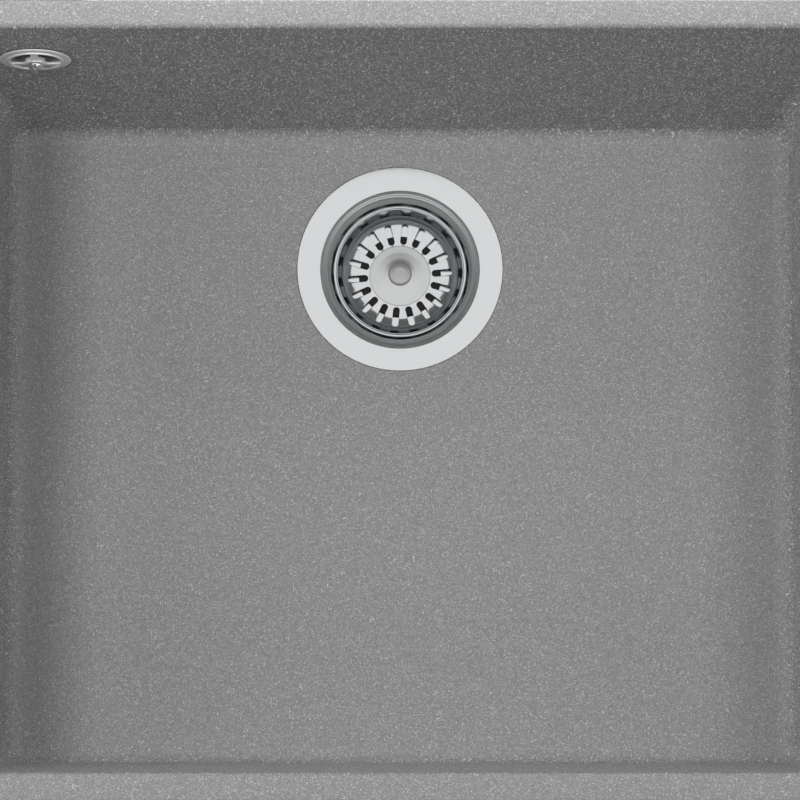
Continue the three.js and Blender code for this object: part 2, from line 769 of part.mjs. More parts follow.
function overflowElbow() {
  const inner = elbowRadius - elbowWall;
  const closedAt = elbowBack - elbowWall;
  const screwHole = overflowScrewRadius + threadFit;
  const chamber = alongWall(turned([
    [inner, elbowFace],
    [inner, closedAt],
    [screwHole + elbowBossWall, closedAt],
    [screwHole + elbowBossWall, bossFace],
    [screwHole, bossFace],
    [screwHole, closedAt],
    [0, closedAt],
    [0, elbowBack],
    [elbowRadius - elbowBevel, elbowBack],
    [elbowRadius, elbowBack - elbowBevel],
    [elbowRadius, elbowFace],
  ], pipeSides));
  const atSpigot = (geometry) => geometry.translate(0, spigotAxis, 0);
  const innerEdge = Math.sqrt(inner ** 2 - spigotRadius ** 2);
  const threadTop = couplingThreadLength - spigotReach;
  const spigot = atSpigot(rod(spigotRadius, threadTop - past, -innerEdge - past, pipeSides));
  const thread = atSpigot(rod(couplingRadius, -spigotReach, threadTop, pipeSides));
  const bore = atSpigot(rod(spigotBore, -spigotReach - past, past - innerEdge, pipeSides));
  return without(joined(chamber, spigot, thread), bore);
}

function overflowScrew() {
  const seat = -rosetteHubRise - touch;
  const crown = arc(0, 0, 1, 0, 90).map(([x, rise]) =>
    [x * overflowHeadRadius, seat - rise * overflowHeadHeight]);
  const screw = alongWall(turned([
    [0, bossFace + overflowScrewGrip],
    [overflowScrewRadius, bossFace + overflowScrewGrip],
    [overflowScrewRadius, seat],
    ...crown.slice(0, -1),
    [0, seat - overflowHeadHeight],
  ], rodSides));
  const slotFloor = seat - overflowHeadHeight + overflowSlotDepth;
  const slot = block(across(overflowHeadSlot), [seat - overflowHeadHeight - past, slotFloor],
    across(2 * overflowHeadRadius));
  return without(screw, slot);
}

function overflowSeal() {
  const face = padFace + touch;
  return alongWall(ring(overflowHoleRadius + sealInset, elbowRadius - sealInset, face,
    face + overflowSealThickness, pipeSides));
}

// ---------------------------------------------------------------- hose and couplings

// Below the spigot's end, in a coupling's frame: seal, hose flange, then the nut's lip.
const hoseStart = -touch - couplingSealThickness - touch;
const nutLipTop = hoseStart - hoseFlangeThickness - touch;
const hoseRadius = spigotBore + hoseWall;
const hoseFlangeRadius = couplingRadius - hoseFlangeInset;

function couplingNut() {
  const bore = couplingRadius + running;
  const top = couplingThreadLength - nutTopInset;
  const bottom = nutLipTop - nutLip;
  const shell = turned([
    [bore, top],
    [bore, nutLipTop],
    [hoseRadius + running, nutLipTop],
    [hoseRadius + running, bottom],
    [nutRadius - nutBevel, bottom],
    [nutRadius, bottom + nutBevel],
    [nutRadius, top],
  ], pipeSides);
  const ribHeights = [bottom + nutBevel, top];
  const rib = block([nutRadius - past, nutRadius + nutRibHeight], across(nutRibWidth), ribHeights);
  return joined(shell, ...around(nutRibs, rib));
}

const couplingSeal = () =>
  ring(spigotBore, hoseFlangeRadius, -touch - couplingSealThickness, -touch, pipeSides);

// Straight lines between corners, each corner rounded to its radius.
function roundedRoute(corners, radii) {
  const path = new THREE.CurvePath();
  let from = corners[0];
  radii.forEach((radius, i) => {
    const corner = corners[i + 1];
    const back = corners[i].clone().sub(corner).normalize();
    const ahead = corners[i + 2].clone().sub(corner).normalize();
    const turn = Math.PI - back.angleTo(ahead);
    const reach = radius * Math.tan(turn / 2);
    const pull = reach - (4 / 3) * radius * Math.tan(turn / 4);
    const bend = [[back, reach], [back, pull], [ahead, pull], [ahead, reach]].map(([way, distance]) =>
      corner.clone().addScaledVector(way, distance));
    path.add(new THREE.LineCurve3(from, bend[0]));
    path.add(new THREE.CubicBezierCurve3(...bend));
    from = bend[3];
  });
  path.add(new THREE.LineCurve3(from, corners[corners.length - 1]));
  return path;
}

// The hose drops beside the rear wall to the inlet's level, crosses under the bowl to the inlet's axis.
function hoseRoute() {
  sink.updateMatrixWorld(true);
  const start = new THREE.Vector3(0, 0, hoseStart).applyMatrix4(upperCoupling.matrixWorld);
  const end = new THREE.Vector3(0, 0, hoseStart).applyMatrix4(lowerCoupling.matrixWorld);
  const falling = new THREE.Vector3(0, 0, -1).transformDirection(upperCoupling.matrixWorld);
  const under = start.clone().addScaledVector(falling, (start.z - end.z) / -falling.z);
  const sideways = (under.y - end.y) / Math.tan(radians(crossingAngle));
  const beside = new THREE.Vector3(under.x + sideways, end.y, end.z);
  return roundedRoute([start, under, beside, end], [dropBend, inletBend]);
}

// [distance, radius] stations up the outside of the hose, and back down its bore.
function hoseStations(length) {
  const ribs = Math.floor((length - 2 * hoseStraight) / hoseRibPitch);
  const ribsFrom = (length - ribs * hoseRibPitch) / 2;
  const end = [
    [0, hoseFlangeRadius],
    [hoseFlangeThickness, hoseFlangeRadius],
    [hoseFlangeThickness, hoseRadius],
  ];
  const ribbed = Array.from({ length: ribs }, (_, i) => ribsFrom + i * hoseRibPitch).flatMap((distance) => [
    [distance, hoseRadius],
    [distance + hoseRibPitch / 2, hoseRadius + hoseRibHeight],
  ]);
  const otherEnd = end.map(([distance, radius]) => [length - distance, radius]).reverse();
  const boreSteps = Math.ceil(ribs / ribsPerBoreStep);
  const bore = Array.from({ length: boreSteps + 1 }, (_, i) => [length * (1 - i / boreSteps), spigotBore]);
  console.log(`overflow hose: ${length.toFixed(0)} mm long, ${ribs} ribs`);
  return [...end, ...ribbed, [length - ribsFrom, hoseRadius], ...otherEnd, ...bore];
}

function overflowHose() {
  const route = hoseRoute();
  const length = route.getLength();
  const frames = route.computeFrenetFrames(routeSteps, false);
  const rings = hoseStations(length).map(([distance, radius]) => {
    const centre = route.getPointAt(distance / length);
    const step = Math.round((distance / length) * routeSteps);
    return Array.from({ length: hoseSides }, (_, i) => {
      const angle = (2 * Math.PI * i) / hoseSides;
      return centre.clone()
        .addScaledVector(frames.normals[step], radius * Math.cos(angle))
        .addScaledVector(frames.binormals[step], radius * Math.sin(angle));
    });
  });
  return lofted(rings);
}

// ---------------------------------------------------------------- assembly

place("bowl", bowl(), stoneComposite, sink);

place("flange_seal", flangeSeal(), rubber, drainFrame);
place("strainer_body", strainerBody(), satinSteel, drainFrame);
place("lower_seal", lowerSeal(), rubber, drainFrame);
place("waste_body", wasteBody(), whitePlastic, drainFrame);
place("clamp_nut", clampNut(), brass, drainFrame);
place("clamp_screw", clampScrew(), satinSteel, drainFrame);

place("basket_cup", basketCup(), brightSteel, drainFrame);
place("basket_cap", basketCap(), satinSteel, drainFrame);
place("basket_knob", basketKnob(), satinSteel, drainFrame);
place("basket_stem", basketStem(), satinSteel, drainFrame);
place("stopper_plate", stopperPlate(), satinSteel, drainFrame);
place("stopper_seal", stopperSeal(), rubber, drainFrame);
place("stem_clip", stemClip(), whitePlastic, drainFrame);

place("overflow_rosette", rosette(), chrome, overflowFrame);
place("overflow_screw", overflowScrew(), chrome, overflowFrame);
place("overflow_seal", overflowSeal(), rubber, overflowFrame);
place("overflow_elbow", overflowElbow(), blackPlastic, overflowFrame);

place("upper_hose_seal", couplingSeal(), rubber, upperCoupling);
place("upper_hose_nut", couplingNut(), greyPlastic, upperCoupling);
place("overflow_hose", overflowHose(), greyPlastic, sink);
place("lower_hose_seal", couplingSeal(), rubber, lowerCoupling);
place("lower_hose_nut", couplingNut(), greyPlastic, lowerCoupling);

export default sink;
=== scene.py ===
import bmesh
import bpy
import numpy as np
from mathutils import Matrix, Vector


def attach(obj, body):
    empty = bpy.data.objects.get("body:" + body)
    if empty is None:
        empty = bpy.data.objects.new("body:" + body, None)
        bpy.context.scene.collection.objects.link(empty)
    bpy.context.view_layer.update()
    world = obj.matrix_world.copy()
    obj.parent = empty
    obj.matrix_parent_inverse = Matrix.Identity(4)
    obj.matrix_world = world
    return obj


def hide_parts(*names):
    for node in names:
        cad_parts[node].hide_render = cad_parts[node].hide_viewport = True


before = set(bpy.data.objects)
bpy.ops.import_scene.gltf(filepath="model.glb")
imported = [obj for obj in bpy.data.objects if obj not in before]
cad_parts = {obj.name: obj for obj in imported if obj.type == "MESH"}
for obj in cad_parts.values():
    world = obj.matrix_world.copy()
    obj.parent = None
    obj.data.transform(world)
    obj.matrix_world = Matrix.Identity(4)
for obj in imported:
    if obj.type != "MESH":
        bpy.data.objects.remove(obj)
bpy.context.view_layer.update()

# Undermount kitchen sink in stone composite, with its basket strainer waste and piped overflow.
# Sizes are in millimetres, +Z up, +X to the right, +Y to the rear wall, from the middle of the
# opening in the plane of the rim. A piece is turned to metres when its mesh is made.

scene = bpy.context.scene
scene.view_settings.view_transform = "Standard"

MM = 0.001

# ---- camera

CAMERA_TILT = 7.6  # degrees away from straight down
CAMERA_DISTANCE = 3.0  # metres
CAMERA_LENS = 260.0
CAMERA_AIM = -0.0017  # metres, the point of the rim's plane in the middle of the picture

tilt = np.radians(CAMERA_TILT)
camera = bpy.data.objects.new("camera", bpy.data.cameras.new("camera"))
camera.data.lens = CAMERA_LENS
camera.data.sensor_width = 36
camera.location = (0, CAMERA_AIM - CAMERA_DISTANCE * np.sin(tilt), CAMERA_DISTANCE * np.cos(tilt))
camera.rotation_euler = (tilt, 0, 0)
scene.collection.objects.link(camera)
scene.camera = camera

# ---- sizes

TOUCH = 0.3
RUNNING = 0.3
THREAD_FIT = 0.15

# Bowl
HALF_WIDTH = 235.0
HALF_DEPTH = 195.0
BOWL_DEPTH = 200.0
RIM_WIDTH = 15.0
RIM_THICKNESS = 10.0
RIM_INNER_ROUND = 3.0
RIM_OUTER_ROUND = 1.5
RIM_LOWER_ROUND = 1.5
WALL = 8.0
LEAN = 19.0
CORNER = 12.0
FLOOR_FILLET = 10.0
OUTER_FILLET = 16.0
FLOOR_FALL = 3.0
REAR_FALL = 2.6
FLOOR_THICKNESS = 10.0
BOSS_DEPTH = 4.0

# Heights and radii of the waste, from the drain's axis
DRAIN_Y = 99.0
FLANGE_Z = -BOWL_DEPTH - FLOOR_FALL
SHEET = 1.2
CUP_R = 38.4
SHELF_R = 40.3
MOUTH_R = 44.0
FLANGE_ROLL = 1.7
FLANGE_DISH = 0.35  # it falls this much towards the mouth
LIP_R = MOUTH_R + FLANGE_ROLL
FLANGE_R = 57.0
SHELF_Z = FLANGE_Z - 7.5
SHELF_FOOT_Z = SHELF_Z - 1.5
SEAT_Z = FLANGE_Z - 30.0
CUP_CORNER = 4.0
THROAT_R = 20.0
THROAT_ROLL = 2.0
THROAT_END_Z = SEAT_Z - 11.0
SPIDER_TOP_Z = THROAT_END_Z + 2.5
REBATE_R = FLANGE_R + 0.4
REBATE_Z = FLANGE_Z - 3.0
DRAIN_HOLE_R = 46.4
FLAT_R = REBATE_R + 3.0
UNDERSIDE_Z = -BOWL_DEPTH - FLOOR_THICKNESS
BOSS_Z = UNDERSIDE_Z - BOSS_DEPTH
BOSS_R = 66.0
BODY_TOP_Z = BOSS_Z - 2.5
BODY_BORE = 44.8
BODY_R = 48.0
BODY_FLANGE_R = 58.0
CONE_TOP_Z = BODY_TOP_Z - 42.0
CONE_END_Z = CONE_TOP_Z - 10.0
OUTLET_R = 23.9
OUTLET_BORE = 20.0
OUTLET_END_Z = CONE_END_Z - 28.0
OUTLET_PITCH = 2.3
HUB_TOP_Z = CONE_END_Z + 6.0
HUB_END_Z = HUB_TOP_Z - 12.0
HUB_R = 10.0
NUT_BARREL_R = 6.4
SCREW_R = 4.0
SCREW_HEAD_R = 7.5
SCREW_HEAD_H = 3.7
INLET_Z = BODY_TOP_Z - 21.0
INLET_REACH = 74.0

# Basket
BEAD = 0.95
BEAD_R = 37.2 - BEAD
BEAD_Z = FLANGE_Z - 8.6 - BEAD
BASKET_SHEET = 0.8
BASKET_FLOOR_Z = FLANGE_Z - 26.0
BASKET_FLAT_R = 18.7
BASKET_FOOT_R = 33.2
SLOTS = 18
SLOT_WIDTH = 3.7
SLOT_INNER_R = 17.9
SLOT_TOP_Z = FLANGE_Z - 23.5
SLOT_TURN = 4.2
STEM_R = 3.5
STEM_HOLE = STEM_R + RUNNING
CAP_R = 17.1
CAP_SHEET = 1.0
CAP_RISE = 1.4
CAP_Z = BASKET_FLOOR_Z + TOUCH
KNOB_Z = CAP_Z + CAP_RISE + CAP_SHEET + TOUCH
KNOB_R = 6.6
KNOB_NECK_R = 4.4
KNOB_HEIGHT = 8.2
KNOB_SOCKET = 5.8
PLATE_TOP_Z = BASKET_FLOOR_Z - BASKET_SHEET - TOUCH
PLATE_END_Z = PLATE_TOP_Z - 0.8
PLATE_R = 16.5
STOPPER_R = 23.0
CLIP_TOP_Z = SEAT_Z - TOUCH
CLIP_SHELF_Z = CLIP_TOP_Z - 2.6
CLIP_END_Z = CLIP_TOP_Z - 7.0

# Overflow, along the wall's normal from its inner face
WALL_ANGLE = np.arctan2(LEAN, BOWL_DEPTH)
OVERFLOW_X = -194.5
OVERFLOW_DROP = 57.0
HOLE_R = 15.0
PAD_R = 28.0
PAD_FACE = 9.5
WALL_GASKET = 3.0
ELBOW_R = 25.0
ELBOW_FACE = PAD_FACE + WALL_GASKET + 2 * TOUCH
ELBOW_WALL = 2.6
SPIGOT_AXIS = 29.0
ELBOW_BACK = 41.5
SPIGOT_REACH = 56.0
SPIGOT_R = 11.5
SPIGOT_BORE = 8.5
SPIGOT_PITCH = 2.0
COUPLING_R = 13.2
COUPLING_LENGTH = 14.0
NUT_R = 17.6

# Facets
ROUND = 128
SMALL_ROUND = 72
CORNER_STEPS = 10
CREASE = 32  # degrees past which an edge stays sharp

# ---- outlines and skins


def unit(vectors):
    """Each vector divided by its length."""
    return vectors / np.maximum(np.linalg.norm(vectors, axis=-1, keepdims=True), 1e-12)


def rounded(corners, steps=5):
    """An outline of [across, up, radius] corners with each corner made an arc.

    The arc's centre lies on the corner's bisector, radius / sin(half its angle) away, and its
    points turn evenly from one side's touching point to the other's.
    """
    data = np.array(corners, float)
    points, radius = data[:, :2], data[:, 2:]
    back = unit(np.roll(points, 1, axis=0) - points)
    ahead = unit(np.roll(points, -1, axis=0) - points)
    cosine = (back * ahead).sum(axis=1, keepdims=True)
    half = np.maximum(np.arccos(np.clip(cosine, -1, 1)) / 2, 1e-3)
    centre = points + unit(back + ahead) * radius / np.sin(half)
    start = (points + back * radius / np.tan(half) - centre)[:, None]
    end = (points + ahead * radius / np.tan(half) - centre)[:, None]
    turn = np.maximum(np.pi - 2 * half, 1e-6)[:, None]
    share = np.linspace(0, 1, steps + 1)[None, :, None]
    spokes = (np.sin((1 - share) * turn) * start + np.sin(share * turn) * end) / np.sin(turn)
    outline = (centre[:, None] + spokes).reshape(-1, 2)
    return outline[np.linalg.norm(outline - np.roll(outline, 1, axis=0), axis=1) > 1e-6]


def arc(centre_x, centre_y, radius, start, end, steps):
    """Points on a circle, from one angle to another in degrees."""
    angle = np.radians(np.linspace(start, end, steps + 1))
    return np.stack([centre_x + radius * np.cos(angle), centre_y + radius * np.sin(angle)], axis=-1)


def pressed(line, thickness):
    """The outline of bent sheet: the line, then the line moved to its left by the thickness.

    A point moves along the mean of its two segments' normals, lengthened so that both segments
    move by the whole thickness.
    """
    along = unit(np.diff(line, axis=0))
    normal = np.stack([-along[:, 1], along[:, 0]], axis=-1)
    before, after = np.vstack([normal[:1], normal]), np.vstack([normal, normal[-1:]])
    stretch = thickness / (1 + (before * after).sum(axis=1, keepdims=True))
    return np.vstack([line, (line + (before + after) * stretch)[::-1]])


def skin(grid, wrap_rows=False, wrap_columns=True):
    """Points and quads of a surface that is given as a grid [row, column, xyz]."""
    index = np.arange(grid.shape[0] * grid.shape[1]).reshape(grid.shape[:2])
    if wrap_rows:
        index = np.vstack([index, index[:1]])
    if wrap_columns:
        index = np.hstack([index, index[:, :1]])
    corners = [index[:-1, :-1], index[:-1, 1:], index[1:, 1:], index[1:, :-1]]
    return grid.reshape(-1, 3), np.stack(corners, axis=-1).reshape(-1, 4)


def facing_out(surface):
    """A closed skin with its quads turned over if the volume that they enclose is negative."""
    points, quads = surface
    a, b, c, d = (points[quads[:, i]] for i in range(4))
    volume = (a * (np.cross(b, c) + np.cross(c, d))).sum()
    return points, quads if volume > 0 else quads[:, ::-1]


def turned(outline, sides=ROUND, swell=None):
    """An outline of [radius, height] turned about Z: x = r cos a, y = r sin a, z = height.

    swell(radius, height, angle) gives what is added to the radius at each point.
    """
    outline = np.array(outline, float)
    angle = 2 * np.pi * np.arange(sides) / sides
    radius, height = outline[:, :1], outline[:, 1:]
    swollen = radius + (swell(radius, height, angle) if swell else 0 * angle)
    grid = np.stack([swollen * np.cos(angle), swollen * np.sin(angle), height + 0 * angle], axis=-1)
    meets_axis = outline[0, 0] == 0 and outline[-1, 0] == 0
    return facing_out(skin(grid, wrap_rows=not meets_axis))


def ring(inner, outer, low, high, edge=0.3, sides=ROUND):
    """A flat ring with its four edges rounded."""
    corners = [(inner, low, edge), (outer, low, edge), (outer, high, edge), (inner, high, edge)]
    return turned(rounded(corners, 3), sides)


def prism(outline, low, high):
    """An outline of [x, y] carried along Z and closed by a fan at each end."""
    outline = np.array(outline, float)
    heights = np.array([low, low, high, high], float)
    shares = np.array([0, 1, 1, 0], float)
    middle = outline.mean(axis=0)
    flat = middle + (outline - middle) * shares[:, None, None]
    height = np.broadcast_to(heights[:, None, None], (4, len(outline), 1))
    return facing_out(skin(np.concatenate([flat, height], axis=-1)))


def box_outline(low_x, high_x, low_y, high_y, edge):
    """A rectangle with rounded corners."""
    return rounded([(low_x, low_y, edge), (high_x, low_y, edge),
                    (high_x, high_y, edge), (low_x, high_y, edge)], 3)


def moved(surface, place):
    """A skin put through a 4 x 4 matrix."""
    points, quads = surface
    return points @ place[:3, :3].T + place[:3, 3], quads


def shift(x, y, z):
    """The matrix of a move."""
    place = np.eye(4)
    place[:3, 3] = x, y, z
    return place


def turn(axis, degrees):
    """The matrix of a turn about X (0), Y (1) or Z (2) by the right-hand rule."""
    a, b = [(1, 2), (2, 0), (0, 1)][axis]
    sine, cosine = np.sin(np.radians(degrees)), np.cos(np.radians(degrees))
    place = np.eye(4)
    place[[a, a, b, b], [a, b, a, b]] = cosine, -sine, sine, cosine
    return place


def around(count, surface, start=0.0):
    """Copies of a skin, evenly round Z, the first one turned by start degrees."""
    return [moved(surface, turn(2, start + 360 * i / count)) for i in range(count)]


# ---- frames

AT_DRAIN = shift(0, DRAIN_Y, 0)
overflow_y = HALF_DEPTH - LEAN * OVERFLOW_DROP / BOWL_DEPTH
AT_OVERFLOW = shift(OVERFLOW_X, overflow_y, -OVERFLOW_DROP) @ turn(0, -np.degrees(WALL_ANGLE))
THROUGH_WALL = AT_OVERFLOW @ turn(0, -90)  # Z runs out through the rear wall, Y down it
TO_WALL = np.linalg.inv(THROUGH_WALL)  # for a skin that is in its own place already
UPPER_COUPLING = AT_OVERFLOW @ shift(0, SPIGOT_AXIS, -SPIGOT_REACH)
LOWER_COUPLING = AT_DRAIN @ shift(-INLET_REACH, 0, INLET_Z) @ turn(1, 90)

# ---- materials


def linear(hex_colour):
    """An sRGB hex colour as linear red, green, blue and alpha."""
    srgb = np.array([int(hex_colour[i:i + 2], 16) for i in (1, 3, 5)]) / 255
    rgb = np.where(srgb <= 0.04045, srgb / 12.92, ((srgb + 0.055) / 1.055) ** 2.4)
    return (*rgb.tolist(), 1.0)


def add(tree, kind, inputs=None, stops=(), **settings):
    """A node with its settings. An input that is a node, for its first output, or another
    node's socket is linked, and any other is set.

    stops are the (position, hex colour) pairs of a colour ramp, at least two.
    """
    node = tree.nodes.new(kind)
    for name, value in settings.items():
        setattr(node, name, value)
    for name, value in (inputs or {}).items():
        if isinstance(value, bpy.types.Node):
            value = value.outputs[0]
        if isinstance(value, bpy.types.NodeSocket):
            tree.links.new(value, node.inputs[name])
        else:
            node.inputs[name].default_value = value
    for number, (position, colour) in enumerate(stops):
        elements = node.color_ramp.elements
        stop = elements[number] if number < len(elements) else elements.new(position)
        stop.position, stop.color = position, linear(colour)
    return node


def started(name):
    """A new material, its empty node tree and the Object coordinates that its patterns read."""
    material = bpy.data.materials.new(name)
    material.use_nodes = True
    tree = material.node_tree
    tree.nodes.clear()
    return material, tree, add(tree, "ShaderNodeTexCoord").outputs["Object"]


def noise(tree, place, size, detail):
    """A noise whose swells are about size mm across."""
    return add(tree, "ShaderNodeTexNoise", {
        "Vector": place, "Scale": 1 / (size * MM), "Detail": detail})


def finished(material, tree, colour, rough, relief, more):
    """The material with its shader, which takes a colour, a roughness, a relief and more.

    relief is a pattern, its strength as a bump and its height in mm.
    """
    pattern, strength, height = relief
    bump = add(tree, "ShaderNodeBump", {
        "Height": pattern, "Strength": strength, "Distance": height * MM})
    shader = add(tree, "ShaderNodeBsdfPrincipled", {
        "Base Color": colour, "Roughness": rough, "Normal": bump, **more})
    add(tree, "ShaderNodeOutputMaterial", {"Surface": shader})
    return material


def speckles(tree, place, spacing, share, largest, pale):
    """Grains on a random lattice: how much of a point lies in a grain, and that grain's colour.

    spacing is the lattice in mm, share the part of its cells that hold a grain, and largest the
    biggest grain's radius in cells. Each grain's radius and paleness are its cell's own.
    """
    grains = add(tree, "ShaderNodeTexVoronoi", {"Vector": place, "Scale": 1 / (spacing * MM)})
    number = add(tree, "ShaderNodeSeparateColor", {"Color": grains.outputs["Color"]})
    radius = add(tree, "ShaderNodeMapRange", {
        "Value": number.outputs["Red"], "From Min": 1 - share, "To Max": largest})
    depth = add(tree, "ShaderNodeMath", {0: radius, 1: grains}, operation="SUBTRACT")
    inside = add(tree, "ShaderNodeMapRange", {"Value": depth, "From Max": 0.12})
    colour = add(tree, "ShaderNodeValToRGB", {"Fac": number.outputs["Green"]}, pale)
    return inside, colour


def stone_composite():
    """Crushed quartz in acrylic resin, cast in a mould and left matt.

    The eye sees a mid grey ground that is crowded with pale grains of quartz half a millimetre
    across, most of them faint, a few larger and nearly white, and a soft sheen on the resin. On
    the walls the grains stand upright and show clearly. On faces that look up they are faded
    towards the ground colour: painted sheen, which stands in for gloss washing them out there.
    """
    material, tree, place = started("stone_composite")
    # Turned and bent after it's stretched, so that no face shows the rows of the grains' lattice.
    tilted = add(tree, "ShaderNodeMapping", {
        "Vector": place, "Scale": (1, 1, 0.36), "Rotation": (0.62, 0.47, 0.29)})
    bend = noise(tree, place, 6, 0.0)
    upright = add(tree, "ShaderNodeVectorMath", {
        0: bend.outputs["Color"], 1: (4 * MM,) * 3, 2: tilted}, operation="MULTIPLY_ADD")
    normal = add(tree, "ShaderNodeNewGeometry").outputs["Normal"]
    facing = add(tree, "ShaderNodeSeparateXYZ", {"Vector": normal})
    flat = add(tree, "ShaderNodeMath", {0: facing.outputs["Z"]}, operation="ABSOLUTE")
    # Painted sheen: the more a face looks up, the fainter its grains, as if gloss washed them out.
    clear = add(tree, "ShaderNodeMapRange", {
        "Value": flat, "From Min": 0.2, "From Max": 0.9, "To Min": 1.0, "To Max": 0.34})
    cloud = noise(tree, place, 1.3, 3.0)
    colour = add(tree, "ShaderNodeValToRGB", {"Fac": cloud}, [(0.3, "#787878"), (0.7, "#888888")])
    fine = speckles(tree, upright, 0.55, 0.85, 0.62,
                    [(0.0, "#9c9c9c"), (0.5, "#dcdcdc"), (1.0, "#ffffff")])
    coarse = speckles(tree, upright, 0.8, 0.5, 0.54,
                      [(0.0, "#b8b8b7"), (0.5, "#e8e8e6"), (1.0, "#ffffff")])
    # Each grain's share is cut by the painted sheen on faces that look up.
    for inside, pale in (fine, coarse):
        share = add(tree, "ShaderNodeMath", {0: inside, 1: clear}, operation="MULTIPLY")
        # A colour Mix has its two colours and its result in sockets 6, 7 and 2.
        colour = add(tree, "ShaderNodeMix", {
            "Factor": share, 6: colour, 7: pale}, data_type="RGBA").outputs[2]
    rough = add(tree, "ShaderNodeMapRange", {"Value": cloud, "To Min": 0.42, "To Max": 0.64})
    return finished(material, tree, colour, rough, (cloud, 0.35, 0.06), {})


def steel(name, colours, roughness, spread, line_width, relief, zones=()):
    """Stainless steel sheet, pressed and then polished on a lathe.

    The eye sees a pale metal whose gloss is broken by fine rings round its axis. The rings are
    a noise that runs along the distance from the drain's axis, one line_width in mm apart, and
    relief is how strongly they show. A zone is [low, high, change], the first two in mm: the
    change is added to the roughness below low and fades out towards high.
    """
    material, tree, place = started(name)
    centred = add(tree, "ShaderNodeMapping", {
        "Vector": place, "Location": (0, -DRAIN_Y * MM, 0), "Scale": (1, 1, 0.35)})
    distance = add(tree, "ShaderNodeVectorMath", {0: centred}, operation="LENGTH")
    rings = add(tree, "ShaderNodeTexNoise", {
        "W": distance.outputs["Value"], "Scale": 1 / (line_width * MM), "Detail": 2.0},
        noise_dimensions="1D")
    wear = noise(tree, place, 9, 4.0)
    mixed = add(tree, "ShaderNodeMath", {0: rings, 1: wear, 2: 0.25}, operation="MULTIPLY_ADD")
    rough = add(tree, "ShaderNodeMapRange", {
        "Value": mixed, "From Min": 0.25, "From Max": 0.75,
        "To Min": roughness - spread, "To Max": roughness + spread})
    height = add(tree, "ShaderNodeSeparateXYZ", {"Vector": place}).outputs["Z"]
    for low, high, change in zones:
        finish = add(tree, "ShaderNodeMapRange", {
            "Value": height, "From Min": low * MM, "From Max": high * MM,
            "To Min": change, "To Max": 0.0})
        rough = add(tree, "ShaderNodeMath", {0: rough, 1: finish})
    tint = add(tree, "ShaderNodeValToRGB", {"Fac": wear}, [(0.25, colours[0]), (0.75, colours[1])])
    return finished(material, tree, tint, rough, (rings, relief, 0.01), {"Metallic": 1.0})


def plated(name, colours, roughness, spread, metallic):
    """Chrome over die-cast zinc, bright from the bath or blasted to a satin before it.

    The eye sees the room in it, clear or as soft patches, with slow ripples of the casting. The
    satin one scatters light all round as well, so it isn't wholly metallic.
    """
    material, tree, place = started(name)
    ripple = noise(tree, place, 6, 1.0)
    haze = noise(tree, place, 1.2, 3.0)
    tint = add(tree, "ShaderNodeValToRGB", {"Fac": haze}, [(0.3, colours[0]), (0.7, colours[1])])
    rough = add(tree, "ShaderNodeMapRange", {
        "Value": haze, "From Min": 0.3, "From Max": 0.7,
        "To Min": roughness - spread, "To Max": roughness + spread})
    return finished(material, tree, tint, rough, (ripple, 0.3, 0.1), {"Metallic": metallic})


def moulded(name, colours, roughness, grain, depth):
    """A moulded plastic or rubber with the fine grain of its mould, grain and depth in mm.

    Polypropylene is waxy, so its gloss is soft and broad. EPDM rubber is nearly black and dull,
    with a bloom that shows as paler clouds.
    """
    material, tree, place = started(name)
    cloud = noise(tree, place, 12, 5.0)
    pores = noise(tree, place, grain, 2.0)
    tint = add(tree, "ShaderNodeValToRGB", {"Fac": cloud}, [(0.3, colours[0]), (0.7, colours[1])])
    rough = add(tree, "ShaderNodeMapRange", {
        "Value": pores, "To Min": roughness - 0.1, "To Max": roughness + 0.1})
    return finished(material, tree, tint, rough, (pores, 0.4, depth), {"IOR": 1.49})


# Each finish is a material and the name of its slot.
stone = stone_composite(), "stone_composite"
satin_steel = steel("satin_steel", ("#cccdce", "#d2d3d4"), 0.34, 0.04, 0.25, 0.2), "satin_steel"
drawn_steel = steel("drawn_steel", ("#d3d5d6", "#d5d7d8"), 0.12, 0.02, 0.25, 0.1, [
    (FLANGE_Z - 1.8, FLANGE_Z - 0.6, 0.22), (SHELF_FOOT_Z - 2, SHELF_Z, -0.2)]), "satin_steel"
cast_steel = steel("cast_steel", ("#bcbdbe", "#c3c4c5"), 0.48, 0.05, 0.4, 0.2), "satin_steel"
bright_steel = steel("bright_steel", ("#cdcfd1", "#d5d7d9"), 0.13, 0.04, 0.3, 0.12), "bright_steel"
satin_chrome = plated("satin_chrome", ("#e8e8e8", "#f0f0f0"), 0.16, 0.06, 0.36), "chrome"
chrome = plated("bright_chrome", ("#f0f0f0", "#f8f8f8"), 0.07, 0.03, 1.0), "chrome"
rubber = moulded("epdm_rubber", ("#161617", "#1f1f21"), 0.62, 0.5, 0.03), "rubber"
white_plastic = (
    moulded("white_polypropylene", ("#e2e2de", "#e9e9e6"), 0.42, 0.6, 0.02), "white_plastic")
grey_plastic = (
    moulded("grey_polypropylene", ("#949698", "#9fa1a3"), 0.45, 0.6, 0.02), "grey_plastic")
black_plastic = (
    moulded("black_polypropylene", ("#39393b", "#444446"), 0.45, 0.6, 0.02), "black_plastic")
brass = steel("turned_brass", ("#b5924a", "#c3a15c"), 0.28, 0.06, 0.3, 0.3), "brass"

# ---- pieces


def mesh_of(name, skins):
    """One mesh in metres from several skins, with the seams and poles of each one closed."""
    counts = np.cumsum([0] + [len(points) for points, _ in skins])
    points = np.concatenate([points for points, _ in skins]) * MM
    quads = np.concatenate([quads + count for (_, quads), count in zip(skins, counts)])
    mesh = bpy.data.meshes.new(name)
    mesh.from_pydata(points.tolist(), [], quads.tolist())
    body = bmesh.new()
    body.from_mesh(mesh)
    bmesh.ops.remove_doubles(body, verts=body.verts, dist=0.0005 * MM)
    body.to_mesh(mesh)
    body.free()
    return mesh


